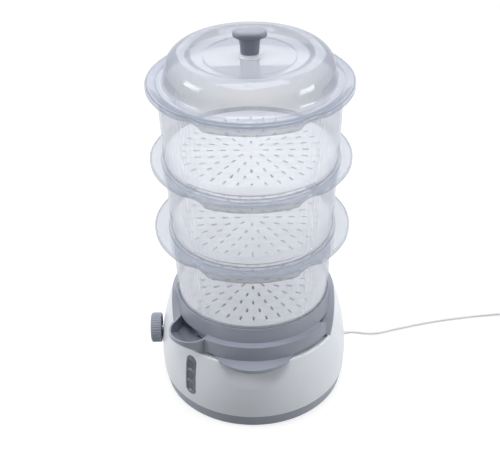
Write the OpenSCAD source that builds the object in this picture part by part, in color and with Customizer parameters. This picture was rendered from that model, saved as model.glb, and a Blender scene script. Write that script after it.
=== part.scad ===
// Electric food steamer: a round base with a water tank and a side timer, a drip tray,
// three clear steaming baskets that stand on each other, and a clear domed lid.
// Millimetres, +Z up, the front (handle and fill spout) towards -Y, z = 0 under the feet.

/* [Base shell] */
// Radius of the shell at its widest
shell_r = 124; // [122:0.5:127]
// Height of the widest point
belly_z = 40; // [35:1:45]
// Radius of the long curve of the shell's side
side_curve_r = 283; // [270:1:300]
// Wall of the shell
shell_wall = 3; // [2.5:0.1:3.2]
// Height where the white shell starts above the grey pan
shell_z = 20; // [18:1:22]
// Height of the shell's rim at the front
rim_front_z = 103.4; // [102:0.2:103.6]
// How far the rim rises from the front to the sides
rim_rise = 34.6; // [25:0.2:35]
// How far behind the front the rim starts to rise, from the centre
rim_turn_y = 63; // [62:1:68]
// Radius of the finger scoop's hollow under the handle
scoop_r = 72; // [65:1:85]
// Distance of the scoop's flattest line from the centre
scoop_y = 109; // [108.5:0.5:112]
// Height of the scoop's axis
scoop_z = 112; // [108:1:114]

/* [Bottom pan and feet] */
// Radius of the pan at its lowest edge
pan_low_r = 119.5; // [117:0.5:121]
// Wall of the pan
pan_wall = 2.5; // [2:0.1:3]
// Height of the rubber feet
foot_h = 3; // [2:0.2:5]
// Radius of a rubber foot
foot_r = 9; // [7:0.5:12]
// Distance of the feet from the centre
feet_at = 92; // [85:1:98]
// Radius of a case screw's shank
screw_r = 1.9; // [1.5:0.1:2.4]
// Distance of the case screws from the centre
screws_at = 108; // [106:1:109]

/* [Tank and heater] */
// Outer radius of the water tank
tank_r = 102; // [100:0.5:102]
// Wall of the water tank
tank_wall = 2.5; // [2:0.1:3]
// Height of the tank's underside
tank_z = 33; // [31:1:36]
// Radius of the heating plate
plate_r = 38; // [34:1:42]
// Thickness of the heating plate
plate_t = 3; // [2:0.2:4]
// Radius of the hole in the tank floor under the plate
plate_hole_r = 32; // [28:1:33]
// Radius of the heater's tube
heater_tube_r = 4; // [3:0.2:4.4]
// Inner radius of the steam sleeve round the plate
sleeve_r = 46; // [44:1:52]
// Height of the steam sleeve
sleeve_h = 58; // [40:1:62]

/* [Timer] */
// Radius of the timer knob
dial_r = 20; // [17:0.5:22]
// Depth of the timer knob
dial_d = 14.2; // [12:0.1:18]
// Height of the timer's axis
dial_z = 71; // [68:1:74]
// Radius of the timer's shaft
shaft_r = 3; // [2.5:0.1:3.5]
// Number of grip ribs on the knob
dial_ribs = 36; // [24:1:40]

/* [Level gauge] */
// Width of the gauge
gauge_w = 17; // [14:0.5:20]
// Height of the gauge
gauge_h = 60; // [50:1:62]
// Height of the gauge's middle
gauge_z = 65; // [62:1:66]
// Angle of the gauge, left of the front
gauge_angle = 42; // [40:1:48]

/* [Drip tray] */
// Radius at the top of the tray's collar
collar_top_r = 100; // [99.8:0.1:101]
// Radius at the bottom of the tray's collar
collar_low_r = 103; // [102:0.5:104]
// Height of the tray's deck
deck_z = 127; // [125:0.5:129]
// Height of the seat that carries the lowest basket
seat_z = 144.8; // [142:0.2:147]
// Wall of the tray
tray_wall = 2.5; // [2:0.1:2.8]
// Radius of the front flange and its band
band_r = 112; // [111:0.5:112.5]
// Height of the band's lower edge
band_z = 107; // [106.2:0.2:110]
// Radius of the handle's curve
handle_r = 56; // [46:1:58]
// Distance of the handle curve's centre from the middle
handle_y = 74; // [72:1:82]
// Radius of the steam chimney in the tray
chimney_r = 36; // [30:1:40]
// Height of the chimney above the tray's floor
chimney_h = 24; // [15:1:30]

/* [Baskets and lid] */
// Height of a basket
basket_h = 98.6; // [80:0.2:120]
// Outer radius of the lowest basket's foot
basket_r = 98; // [96:0.1:98]
// How much a basket widens from foot to rim
basket_draft = 3.8; // [3:0.1:4.5]
// Wall of the baskets
basket_wall = 2.2; // [1.8:0.1:2.4]
// Radius of the flanges
flange_r = 122.5; // [121:0.5:128]
// Thickness of the flanges
flange_t = 2.4; // [2:0.1:3]
// Depth of the seat in a flange
nest = 1.2; // [0.8:0.1:1.5]
// Thickness of a basket's floor
floor_t = 2.2; // [1.8:0.1:3]
// Width of a floor slot
slot_w = 2.6; // [2:0.1:3]
// Length of a floor slot
slot_l = 8; // [6:0.5:9]
// Radius of the lid's dome where it meets the flange
dome_r = 101; // [99:0.5:103]
// Radius of the dome's highest ring
crown_r = 79; // [77:0.5:81]
// Height of the dome's highest ring above the flange
crown_h = 35; // [32:0.5:38]
// Radius of the sunken disc in the lid's middle
disc_r = 54; // [50:0.5:58]
// How deep the disc lies below the crown
disc_drop = 8; // [6:0.5:10]
// Wall of the lid
lid_wall = 2; // [1.8:0.1:2.4]

/* [Lid knob] */
// Length of the knob's cap
cap_l = 39.4; // [34:0.2:46]
// Width of the knob's cap
cap_w = 22; // [18:0.5:26]
// Height of the knob from its collar to its top
knob_h = 28; // [22:0.5:34]
// Length of the stem where it meets the cap
stem_top = 26; // [24:0.5:28]
// Length of the stem at its foot
stem_foot = 21.6; // [19:0.5:23]

/* [Mains cord] */
// Diameter of the cord
cord_d = 6.4; // [6:0.1:6.8]
// Loops in each of the coil's two layers
coil_loops = 1.875; // [1.375:0.5:2.375]
// Outer radius of the coil at the middle of its tube
coil_r = 43; // [42:1:44]
// Step between the coil's loops
coil_step = 8; // [7.8:0.1:8.2]
// Height of a coil layer
coil_layer = 7; // [6.9:0.1:7.4]

/* [Fits] */
// Gap between a basket's foot and the rib round its seat
foot_gap = 0.6; // [0.4:0.1:0.8]
// Radial clearance of the timer shaft in its bearing
shaft_gap = 0.05; // [0.03:0.01:0.08]
// Gap between still pieces that do not touch
still_gap = 0.3; // [0.2:0.05:0.4]

/* [Hidden] */
$fn = 96;

big = 400;
eps = 0.01;

// ---- base: derived sizes ----
pan_z = foot_h;
rim_side_z = rim_front_z + rim_rise;
arc_steps = 14;
// Radius of the shell's outside at height z, above its widest point
function side_r(z) = shell_r - side_curve_r + sqrt(pow(side_curve_r, 2) - pow(z - belly_z, 2));
shell_low_r = shell_r - 1;
shell_lip_r = shell_low_r - shell_wall - still_gap;
// Height of the pan's inner lip, which the shell's webs stay above
pan_lip_top_z = shell_z + 4;
ledge_t = 2.7;
tank_flange_t = 2.4;
tray_foot_z = rim_front_z + 0.6;
tank_top_z = tray_foot_z;
ledge_top_z = tank_top_z - tank_flange_t;
// How far the tank's flange reaches, short of the scoop's inner wall
tank_flange_r = scoop_y - shell_wall - still_gap;
tank_floor_z = tank_z + tank_wall;
// Size of the slope between the tank's floor and its wall
tank_corner = 6;
seal_t = 2;
plate_z = tank_floor_z + seal_t;
plate_boss_h = 8;
boss_bottom_z = plate_z - plate_boss_h;
heater_ring_r = plate_hole_r - 8;
heater_sweep = 300;
screw_head_r = 2 * screw_r;
screw_head_h = 2;
boss_r = 5;
boss_top_z = 46;

// ---- timer: the knob's back stands just clear of the shell ----
dial_gap = 0.5;
dial_back_x = -(side_r(dial_z - dial_r) + dial_gap);
dial_face_x = dial_back_x - dial_d;
timer_half = 17;
timer_body_r = 15;
timer_plate_t = 2;
// Thickness of the knob's front over the shaft's end
dial_face_t = 4;
// Front of the timer's case, where its corners just clear the shell's inside
timer_front_x = still_gap - sqrt(pow(side_r(dial_z + timer_half) - shell_wall, 2)
    - pow(timer_half, 2));
timer_back_x = -(tank_flange_r + still_gap);

// ---- tray: derived sizes ----
tray_floor_z = tray_foot_z + 2;
bowl_r = 90;
// The tray's foot lifts out through the rim, which is the shell's narrowest place
tray_foot_r = min(tank_flange_r - 1, side_r(rim_side_z) - shell_wall - 2 * still_gap);
// Collar that lies over the shell's rising rim
saddle_gap = 0.4;
saddle_t = 2;
saddle_in_r = collar_low_r - 3;
band_side_y = rim_turn_y - 0.6;
handle_t = 4.6;
handle_top_z = tray_foot_z + 1.6;
handle_clear = 0.6;
spout_c = [-80.5, -73];
spout_r = 27;
spout_back = [-93, -37];
spout_nose_z = deck_z - 4;
spout_nose_r = 137;
spout_wall = 2.2;
throat_w = 3.4;

// ---- baskets: every basket stands in the flange below it ----
basket_pitch = basket_h - nest;
foot_step = basket_draft + 0.2;
function foot_at(i) = basket_r + i * foot_step;
function basket_z(i) = seat_z + i * basket_pitch;
lid_z = basket_z(3) + nest;
foot_h_basket = 3;
notch_r = 40;
notch_depth = 3.5;
notch_angle = 35;
edge_w = 1.8;
edge_drop = 4.2;
edge_rise = 0.8;
grip_drop = 9;
grip_angle = 27;
slot_ring_step = 16;
slot_ring_1 = 18;

// ---- lid and knob ----
disc_z = lid_z + flange_t + crown_h - disc_drop;
collar_h = 3.4;
knob_z = disc_z + collar_h;
cap_h = 7.5;
knob_screw_r = 2;
vent_r = 1.3;

// ---- cord: where it leaves, the points it follows, and its coil ----
cord_r = cord_d / 2;
gland_from = [106, 44.6, 19.4];
gland_to = [137, 50, 17.5];
gland_r = cord_r + 2;
gland_in = 2.5;
gland_body = 12;
lead_points = [[137, 50, 17.5], [146, 51.8, 15.4], [156, 54.6, 11.4], [167, 58.4, 7.2],
    [180, 63, 4.4], [200, 70, 3.4], [230, 79, 3.4], [265, 88, 3.4], [300, 95, 3.4],
    [335, 100, 3.6], [362, 102.4, 4], [388, 103, 4.4], [412, 103, 4.4]];
coil_c = [418, 60];
coil_z = 4.4;
coil_rings = 24;
coil_sides = 6;
coil_lead_in = 6;
climb_turns = 0.5;
coil_turns = 2 * coil_loops + climb_turns;
coil_in_r = coil_r - coil_loops * coil_step;
tail_points = [[461, 54, 11.4], [461, 46, 12.2], [461.2, 36, 14.4], [461.6, 26, 16.8], [462, 16, 18]];
plug_r = 18;
plug_from_y = 16;
plug_l = 44;
pin_r = 2.4;
pin_l = 19;
pin_apart = 19;
tie_t = 0.9;
tie_w = 7;

// ---- helpers ----
// Turns its children to the angle a, measured from the front towards the left
module facing(a) {
    rotate([0, 0, -90 - a]) children();
}

// A ring about the Z axis from z0 to z1
module ring(r_in, r_out, z0, z1) {
    rotate_extrude() translate([r_in, z0]) square([r_out - r_in, z1 - z0]);
}

// Flat outline of the shell's outside, moved in by d, from height z0 to z1
function shell_side(d, z0, z1) = [for (i = [0 : arc_steps])
    let (z = z0 + (z1 - z0) * i / arc_steps) [side_r(max(z, belly_z)) - d, z]];

// Solid of revolution of the shell's outside, moved in by d
module shell_solid(d, z0, z1) {
    rotate_extrude() polygon(concat([[0, z1], [0, z0]], [[shell_low_r - d, z0]],
        shell_side(d, belly_z, z1)));
}

// Everything above the rim: flat at the front, rising to the sides
module above_rim(lift) {
    rise = [for (i = [0 : 10])
        [-rim_turn_y + rim_turn_y * i / 10, rim_front_z + lift + rim_rise * sin(9 * i)]];
    rotate([90, 0, 90]) linear_extrude(2 * big, center = true)
        polygon(concat([[-big, rim_front_z + lift]], rise,
            [[big, rim_side_z + lift], [big, big], [-big, big]]));
}

// Plan of the fill spout, drawn in by d
module spout_plan(d) {
    translate(spout_c) circle(spout_r - d);
    polygon([[spout_c[0] + 8, spout_back[1] - 10], [spout_back[0] + d, spout_back[1] - d],
        [spout_c[0] - spout_r + d, spout_c[1] + 4], spout_c]);
}

// A pill across the shell wall at the gauge, drawn in by d
module gauge_pill(d) {
    facing(gauge_angle) for (s = [0 : 1]) {
        half = (gauge_h - gauge_w) / 2;
        translate([80, 0, gauge_z + (2 * s - 1) * half]) rotate([0, 90, 0])
            cylinder(r = gauge_w / 2 - d, h = 60);
        translate([80, -gauge_w / 2 + d, gauge_z - half]) cube([60, gauge_w - 2 * d, 2 * half]);
    }
}

// A tube swept along points p, with n sides and radius r
function unit(v) = v / norm(v);
function along(p, i) = unit(p[min(i + 1, len(p) - 1)] - p[max(i - 1, 0)]);
function side_of(t) = unit(cross(t, [0, 0, 1]));
function hoop(c, t, r, n) = [for (k = [0 : n - 1])
    let (s = side_of(t), u = cross(s, t), a = 360 * k / n + 180 / n)
    c + r * (cos(a) * s + sin(a) * u)];
module tube(p, r, n) {
    m = len(p);
    pts = [for (i = [0 : m - 1]) each hoop(p[i], along(p, i), r, n)];
    sides = [for (i = [0 : m - 2], k = [0 : n - 1], h = [0 : 1])
        let (a = i * n + k, b = i * n + (k + 1) % n)
        h == 0 ? [a, a + n, b] : [b, a + n, b + n]];
    ends = [for (k = [1 : n - 2], h = [0 : 1])
        h == 0 ? [0, k, k + 1] : [(m - 1) * n, (m - 1) * n + k + 1, (m - 1) * n + k]];
    polyhedron(points = pts, faces = concat(sides, ends));
}

// A smooth path through points p, with steps pieces between two points
function bend(a, b, c, d, t) = 0.5 * (2 * b + (c - a) * t + (2 * a - 5 * b + 4 * c - d) * t * t
    + (3 * b - a - 3 * c + d) * t * t * t);
function smooth(p, steps) = [for (i = [0 : len(p) - 2], s = [0 : steps - 1])
    bend(p[max(i - 1, 0)], p[i], p[i + 1], p[min(i + 2, len(p) - 1)], s / steps),
    p[len(p) - 1]];

// Middle line of the coil after t turns: in, up half a turn, and out again
function coil_at(t) =
    let (a = 90 - 360 * t,
        r = t < coil_loops ? coil_r - coil_step * t
            : t < coil_loops + climb_turns ? coil_in_r
            : coil_in_r + coil_step * (t - coil_loops - climb_turns),
        up = min(1, max(0, (t - coil_loops) / climb_turns)))
    [coil_c[0] + r * cos(a), coil_c[1] + r * sin(a), coil_z + coil_layer * up];
coil_n = ceil(coil_turns * coil_rings);
coil_start = [coil_c[0] - coil_lead_in, coil_c[1] + coil_r, coil_z];
coil_end = coil_at(coil_turns) + [0, -coil_lead_in, 0];
coil_path = concat([coil_start], [for (i = [0 : coil_n]) coil_at(coil_turns * i / coil_n)],
    [coil_end]);
// Least gap of the coil to itself, between middle lines at least half a turn apart
coil_gap = min([for (i = [0 : 2 : coil_n], j = [i + coil_rings / 2 : 1 : coil_n])
    norm(coil_path[i + 1] - coil_path[j + 1])]) - cord_d;
echo(coil_gap = coil_gap);

// ---- base ----
module base_shell() {
    color([0.93, 0.94, 0.95]) difference() {
        union() {
            difference() {
                shell_solid(0, shell_z, rim_side_z);
                shell_solid(shell_wall, shell_z - eps, rim_side_z + eps);
            }
            // wall behind the finger scoop
            intersection() {
                shell_solid(0, shell_z, rim_side_z);
                translate([0, -scoop_y - scoop_r, scoop_z]) rotate([0, 90, 0])
                    cylinder(r = scoop_r + shell_wall, h = 2 * big, center = true);
            }
            // shelf that carries the tank
            intersection() {
                shell_solid(shell_wall / 2, shell_z, rim_side_z);
                ring(tank_r + 2 * still_gap, big, ledge_top_z - ledge_t, ledge_top_z);
            }
            for (a = [45 : 90 : 315]) rotate([0, 0, a]) {
                translate([screws_at, 0, pan_z + pan_wall + 1]) cylinder(r = boss_r, h = boss_top_z - pan_z);
                translate([screws_at, -1, pan_lip_top_z + 1])
                    cube([shell_r - screws_at - 1.2, 2, boss_top_z - pan_lip_top_z]);
            }
        }
        above_rim(0);
        translate([0, -scoop_y - scoop_r, scoop_z]) rotate([0, 90, 0])
            cylinder(r = scoop_r, h = 2 * big, center = true);
        translate([0, 0, rim_front_z]) linear_extrude(big) spout_plan(-1.5);
        gauge_pill(-still_gap);
        translate([-shell_r - 5, 0, dial_z]) rotate([0, 90, 0]) cylinder(r = shaft_r + 1.5, h = 20);
        cord_bore(gland_r + still_gap);
        for (a = [45 : 90 : 315]) rotate([0, 0, a])
            translate([screws_at, 0, 0]) cylinder(r = screw_r + shaft_gap, h = boss_top_z - 10);
    }
}

// A bore along the cord gland's axis
module cord_bore(r) {
    v = unit(gland_to - gland_from);
    translate(gland_from - 8 * v) rotate([0, acos(v[2]), atan2(v[1], v[0])]) cylinder(r = r, h = 50);
}

module bottom_pan() {
    color([0.52, 0.54, 0.6]) difference() {
        union() {
            rotate_extrude() polygon([[0, pan_z], [pan_low_r, pan_z], [shell_low_r, shell_z],
                [shell_low_r - pan_wall, shell_z], [pan_low_r - pan_wall, pan_z + pan_wall],
                [0, pan_z + pan_wall]]);
            ring(shell_lip_r - pan_wall, shell_lip_r, pan_z + 5, pan_lip_top_z);
        }
        for (a = [45 : 90 : 315]) rotate([0, 0, a]) {
            translate([screws_at, 0, 0]) cylinder(r = screw_r + still_gap, h = shell_z + 6);
            translate([screws_at, 0, pan_z + pan_wall + 1 - eps]) cylinder(r = boss_r + still_gap, h = shell_z);
            translate([feet_at, 0, 0]) cylinder(r = foot_r / 3 + shaft_gap, h = 2 * shell_z);
        }
        cord_bore(gland_r + still_gap);
        // vents under the heater
        for (a = [0 : 30 : 330]) rotate([0, 0, a]) translate([30, -1.5, 0]) cube([24, 3, 20]);
    }
}

module rubber_feet() {
    color([0.2, 0.2, 0.22]) for (a = [45 : 90 : 315]) rotate([0, 0, a]) translate([feet_at, 0, 0]) {
        cylinder(r1 = foot_r - 1, r2 = foot_r, h = pan_z);
        cylinder(r = foot_r / 3, h = pan_z + pan_wall);
        translate([0, 0, pan_z + pan_wall]) cylinder(r = foot_r / 3 + 1.2, h = 1.6);
    }
}

module case_screws() {
    color([0.7, 0.71, 0.73]) for (a = [45 : 90 : 315]) rotate([0, 0, a]) translate([screws_at, 0, 0])
        difference() {
            union() {
                translate([0, 0, pan_z - screw_head_h]) cylinder(r = screw_head_r, h = screw_head_h);
                translate([0, 0, pan_z - eps]) cylinder(r = screw_r, h = 26);
            }
            translate([0, 0, pan_z - screw_head_h - eps]) for (q = [0, 90]) rotate([0, 0, q])
                translate([-screw_r, -0.4, 0]) cube([2 * screw_r, 0.8, 1.2]);
        }
}

module water_tank() {
    color([0.88, 0.89, 0.9]) rotate_extrude() polygon([[plate_hole_r, tank_z],
        [tank_r - tank_corner, tank_z], [tank_r, tank_z + tank_corner], [tank_r, ledge_top_z],
        [tank_flange_r, ledge_top_z], [tank_flange_r, tank_top_z], [tank_r - tank_wall, tank_top_z],
        [tank_r - tank_wall, tank_z + tank_corner + 1], [tank_r - tank_corner - 1, tank_floor_z],
        [plate_hole_r, tank_floor_z]]);
}

module heater_seal() {
    color([0.75, 0.3, 0.2]) ring(plate_hole_r + 1, plate_r, tank_floor_z, plate_z);
}

module heating_plate() {
    color([0.75, 0.76, 0.78]) {
        translate([0, 0, plate_z]) cylinder(r = plate_r, h = plate_t);
        translate([0, 0, boss_bottom_z]) cylinder(r = plate_hole_r - still_gap, h = plate_boss_h + eps);
    }
}

module heater_tube() {
    tube_z = boss_bottom_z - heater_tube_r;
    color([0.6, 0.6, 0.62]) {
        rotate([0, 0, 30]) rotate_extrude(angle = heater_sweep) translate([heater_ring_r, tube_z])
            circle(heater_tube_r);
        for (a = [30, 330]) rotate([0, 0, a]) translate([heater_ring_r, 0, tube_z]) {
            rotate([a == 30 ? 90 : -90, 0, 0]) cylinder(r = heater_tube_r, h = 6);
        }
    }
}

module thermostat() {
    color([0.3, 0.3, 0.32]) translate([-4, 0, boss_bottom_z - 9]) {
        cylinder(r = 8, h = 9);
        translate([-3, -11, 2]) cube([1, 22, 5]);
    }
}

module thermal_fuse() {
    color([0.85, 0.83, 0.75]) translate([8.5, -8, boss_bottom_z - 3]) rotate([-90, 0, 0]) {
        cylinder(r = 3, h = 16);
        translate([0, 0, -4]) cylinder(r = 0.8, h = 24);
    }
}

module steam_sleeve() {
    color([0.9, 0.9, 0.92]) difference() {
        union() {
            ring(sleeve_r, sleeve_r + 2, tank_floor_z, tank_floor_z + sleeve_h);
            ring(sleeve_r, sleeve_r + 5, tank_floor_z + 12, tank_floor_z + 14);
        }
        for (a = [0 : 60 : 300]) rotate([0, 0, a])
            translate([sleeve_r - 1, -6, tank_floor_z - eps]) cube([5, 12, 8]);
    }
}

module timer_case() {
    body_d = timer_back_x - timer_front_x;
    color([0.8, 0.8, 0.82]) difference() {
        union() {
            translate([timer_front_x, -timer_half, dial_z - timer_half])
                cube([timer_plate_t, 2 * timer_half, 2 * timer_half]);
            translate([timer_front_x, 0, dial_z]) rotate([0, 90, 0])
                cylinder(r = timer_body_r, h = body_d);
        }
        translate([timer_front_x - eps, 0, dial_z]) rotate([0, 90, 0])
            cylinder(r = shaft_r + shaft_gap, h = body_d + 2 * eps);
    }
}

module timer_shaft() {
    tip_x = dial_face_x + dial_face_t;
    color([0.85, 0.85, 0.6]) translate([tip_x, 0, dial_z]) rotate([0, 90, 0])
        cylinder(r = shaft_r, h = timer_back_x - still_gap - tip_x);
}

module timer_knob() {
    rib = 0.9;
    color([0.42, 0.44, 0.5]) translate([dial_back_x, 0, dial_z]) rotate([0, -90, 0]) difference() {
        union() {
            cylinder(r = dial_r - rib, h = dial_d - 1.5);
            translate([0, 0, dial_d - 1.5]) cylinder(r1 = dial_r - rib, r2 = dial_r - 3, h = 1.5);
            for (i = [0 : dial_ribs - 1]) rotate([0, 0, 360 * i / dial_ribs])
                translate([dial_r - rib - 0.5, -0.8, 1]) cube([rib + 0.5, 1.6, dial_d - 2.9]);
        }
        translate([0, 0, dial_d - 0.8]) cylinder(r = dial_r - 5, h = 2);
        translate([dial_r - 13, -0.8, dial_d - 1.6]) cube([7, 1.6, 3]);
        translate([0, 0, -eps]) cylinder(r = shaft_r, h = dial_d - dial_face_t + eps);
        difference() {
            translate([0, 0, -eps]) cylinder(r = dial_r - 3, h = dial_d - dial_face_t - 1);
            cylinder(r = shaft_r + 2.5, h = dial_d);
        }
    }
}

module gauge_bezel() {
    color([0.36, 0.38, 0.43]) difference() {
        intersection() {
            gauge_pill(0);
            difference() {
                shell_solid(-0.7, shell_z, rim_front_z);
                shell_solid(2, shell_z - eps, rim_front_z + eps);
            }
        }
        facing(gauge_angle) for (i = [-1 : 1])
            translate([80, -gauge_w / 2 + 4, gauge_z + 17 * i - 6.5]) cube([60, gauge_w - 8, 13]);
    }
}

module gauge_lens() {
    color([0.55, 0.58, 0.64, 0.6]) intersection() {
        gauge_pill(1.5);
        difference() {
            shell_solid(2, shell_z, rim_front_z);
            shell_solid(4.5, shell_z - eps, rim_front_z + eps);
        }
    }
}

module terminal_block() {
    color([0.9, 0.9, 0.86]) translate([60, 22, pan_z + pan_wall]) difference() {
        cube([26, 14, 12]);
        for (i = [0 : 2]) translate([5 + 8 * i, 7, 4]) cylinder(r = 2, h = 10);
    }
}

module inner_wires() {
    wire_r = 1.2;
    wire_x = (timer_front_x + timer_back_x) / 2;
    wz = pan_z + pan_wall + wire_r + 0.1;
    color([0.2, 0.35, 0.75]) {
        tube(smooth([[59.9, 26, wz + 2], [44, 20, wz], [28, 10, wz], [14, 0, wz], [-20, -6, wz],
            [-60, -8, wz], [-92, -6, wz], [-106, -2, wz + 4], [wire_x, 0, 34],
            [wire_x, 0, dial_z - timer_body_r - still_gap / 2]], 3), wire_r, 6);
        tube(smooth([[59.9, 32, wz + 2], [48, 32, wz + 1], [40, 26, wz + 1.5], [34, 18, wz + 5],
            [28.6, 12.5, 18.2]], 3), wire_r, 6);
    }
}

module cord_clamp() {
    color([0.85, 0.85, 0.87]) translate([92, 32, pan_z + pan_wall]) rotate([0, 0, 14]) difference() {
        cube([8, 20, 18]);
        translate([-1, 9.5, 12.6]) rotate([0, 90, 0]) cylinder(r = cord_r + still_gap, h = 12);
    }
}

module cord_gland() {
    v = unit(gland_to - gland_from);
    l = norm(gland_to - gland_from);
    color([0.88, 0.89, 0.9]) translate(gland_from) rotate([0, acos(v[2]), atan2(v[1], v[0])])
        difference() {
            union() {
                translate([0, 0, -gland_in]) cylinder(r = gland_r, h = gland_in + gland_body);
                translate([0, 0, -gland_in]) cylinder(r = gland_r + 2, h = 2);
                translate([0, 0, gland_body])
                    cylinder(r1 = gland_r, r2 = cord_r + 0.5, h = l - gland_body);
            }
            translate([0, 0, -gland_in - eps]) cylinder(r = cord_r - 0.6, h = l - gland_body);
        }
}

// ---- mains cord ----
module mains_cord() {
    color([0.9, 0.9, 0.91]) {
        tube(smooth(lead_points, 2), cord_r, 10);
        tube(smooth(tail_points, 2), cord_r, 10);
    }
}

module cord_coil() {
    color([0.9, 0.9, 0.91]) tube(coil_path, cord_r, coil_sides);
}

module cord_tie() {
    tie_in = coil_in_r - cord_r - 1;
    tie_out = coil_r + cord_r - 2;
    tie_h = coil_z + coil_layer + cord_r + 1;
    color([0.25, 0.25, 0.27]) translate([coil_c[0], coil_c[1] + tie_w / 2, 0]) rotate([90, 0, 0])
        linear_extrude(tie_w) difference() {
            translate([-tie_out - tie_t, 0]) square([tie_out - tie_in + 2 * tie_t, tie_h]);
            translate([-tie_out, tie_t]) square([tie_out - tie_in, tie_h - 2 * tie_t]);
        }
}

module plug_body() {
    color([0.9, 0.9, 0.91]) translate([tail_points[4][0], plug_from_y, plug_r]) rotate([90, 0, 0]) {
        rotate_extrude() polygon([[0, 0], [cord_r + 1, 0], [cord_r + 2.6, 12], [plug_r - 5, 16],
            [plug_r - 3, 24], [plug_r, 27], [plug_r, plug_l], [0, plug_l]]);
    }
}

module plug_pins() {
    color([0.8, 0.8, 0.82]) for (s = [-1, 1])
        translate([tail_points[4][0] + s * pin_apart / 2, plug_from_y - plug_l, plug_r])
            rotate([90, 0, 0]) {
                cylinder(r = pin_r, h = pin_l - 2);
                translate([0, 0, pin_l - 2]) cylinder(r1 = pin_r, r2 = pin_r - 1, h = 2);
            }
}

// ---- drip tray ----
module tray_spout_cones(lift) {
    // region below the spout's sloping underside, raised by lift
    rotate_extrude() polygon([[0, 0], [0, band_z - 2 + lift], [band_r, band_z - 2 + lift],
        [spout_nose_r, spout_nose_z + lift], [2 * spout_nose_r, spout_nose_z + lift],
        [2 * spout_nose_r, 0]]);
}

module drip_tray() {
    lip_z = seat_z + nest;
    handle_low_z = handle_top_z - handle_t;
    color([0.5, 0.52, 0.58]) difference() {
        union() {
            // bowl, chimney, deck and collar
            rotate_extrude() {
                translate([chimney_r, tray_floor_z]) square([tray_wall, chimney_h]);
                translate([chimney_r, tray_floor_z]) square([bowl_r - chimney_r + 1, tray_wall]);
                translate([bowl_r, tray_foot_z]) square([tray_wall, deck_z - tray_foot_z]);
                translate([bowl_r, tray_foot_z]) square([tray_foot_r - bowl_r, 2]);
                polygon([[bowl_r, deck_z - tray_wall], [collar_low_r, deck_z - tray_wall],
                    [collar_low_r, deck_z - 1], [collar_top_r, lip_z],
                    [foot_at(0) + foot_gap, lip_z], [foot_at(0) + foot_gap, seat_z],
                    [foot_at(0) - 5, seat_z], [foot_at(0) - 5, seat_z - 2.2],
                    [foot_at(0) - 0.4, seat_z - 2.2], [collar_low_r - tray_wall, deck_z],
                    [bowl_r, deck_z]]);
            }
            rim_saddle();
            // front flange, band, handle and spout
            difference() {
                union() {
                    intersection() {
                        union() {
                            ring(collar_low_r - 1, band_r, deck_z - tray_wall, deck_z);
                            ring(band_r - tray_wall, band_r, band_z, deck_z);
                        }
                        translate([-big, -big - band_side_y, 0]) cube([2 * big, big, big]);
                    }
                    difference() {
                        intersection() {
                            ring(band_r - tray_wall, band_r, handle_top_z - 1.6, deck_z);
                            translate([0, -handle_y, 0]) cylinder(r = handle_r, h = big);
                        }
                    }
                    handle_plate(handle_top_z - 1.6, band_r - tray_wall, 0);
                    handle_plate(handle_low_z, side_r(rim_front_z) + handle_clear, scoop_y + 1.3);
                    difference() {
                        translate([0, 0, tray_foot_z]) linear_extrude(deck_z - tray_foot_z) spout_plan(0);
                        tray_spout_cones(0);
                        ring(0, bowl_r + 1, 0, big);
                    }
                }
                difference() {
                    translate([0, 0, tray_foot_z]) linear_extrude(big) spout_plan(spout_wall);
                    tray_spout_cones(tray_wall);
                    ring(0, bowl_r + tray_wall, 0, big);
                }
            }
        }
        // throat from the spout down into the tank
        facing(44) translate([bowl_r + tray_wall + 0.6, -8.5, tray_foot_z - 1]) cube([throat_w, 17, 10]);
    }
}

// The tray's edge that follows the shell's rim round the sides and the back
module rim_saddle() {
    difference() {
        intersection() {
            difference() {
                above_rim(saddle_gap);
                above_rim(saddle_gap + saddle_t);
            }
            shell_solid(-saddle_gap, shell_z, seat_z);
            translate([-big, -band_side_y, 0]) cube([2 * big, 2 * big, big]);
        }
        cylinder(r = saddle_in_r, h = big);
        translate([0, 0, shell_z]) linear_extrude(big) spout_plan(spout_wall / 2);
    }
}

// The handle's crescent from z0 up to its top, outside radius r and beyond the line y
module handle_plate(z0, r, y) {
    difference() {
        translate([0, -handle_y, z0]) cylinder(r = handle_r, h = handle_top_z - z0);
        intersection() {
            ring(0, r, 0, big);
            translate([-big, y > 0 ? -y : -big, 0]) cube([2 * big, 2 * big, big]);
        }
    }
}

// ---- baskets and lid ----
// Flange outline with its four shallow notches
module flange_plan(r, d) {
    difference() {
        circle(r - d);
        for (a = [notch_angle, -notch_angle, 180 - notch_angle, 180 + notch_angle])
            rotate(-90 - a) translate([r + notch_r - notch_depth, 0]) circle(notch_r + d);
    }
}

// Flange edge: a thickened lip all round, and a deeper grip at the front and back
module flange_edge(z) {
    translate([0, 0, z - edge_drop]) linear_extrude(edge_drop + edge_rise) difference() {
        flange_plan(flange_r, 0);
        flange_plan(flange_r, edge_w);
    }
    for (a = [0, 180]) facing(a) translate([0, 0, z - grip_drop])
        linear_extrude(grip_drop - flange_t / 2) intersection() {
            difference() {
                circle(flange_r - 0.2);
                circle(flange_r - edge_w + 0.2);
            }
            polygon([[0, 0], [2 * flange_r, -2 * flange_r * tan(grip_angle)],
                [2 * flange_r, 2 * flange_r * tan(grip_angle)]]);
        }
}

// Slots in rings over a basket's floor
module floor_slots(r_max) {
    rings = floor((r_max - slot_ring_1 - slot_l / 2) / slot_ring_step);
    for (k = [0 : rings]) {
        n = 8 + 6 * k;
        for (i = [0 : n - 1]) rotate(360 * i / n)
            translate([slot_ring_1 + slot_ring_step * k - slot_l / 2, -slot_w / 2])
                square([slot_l, slot_w]);
    }
}

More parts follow.
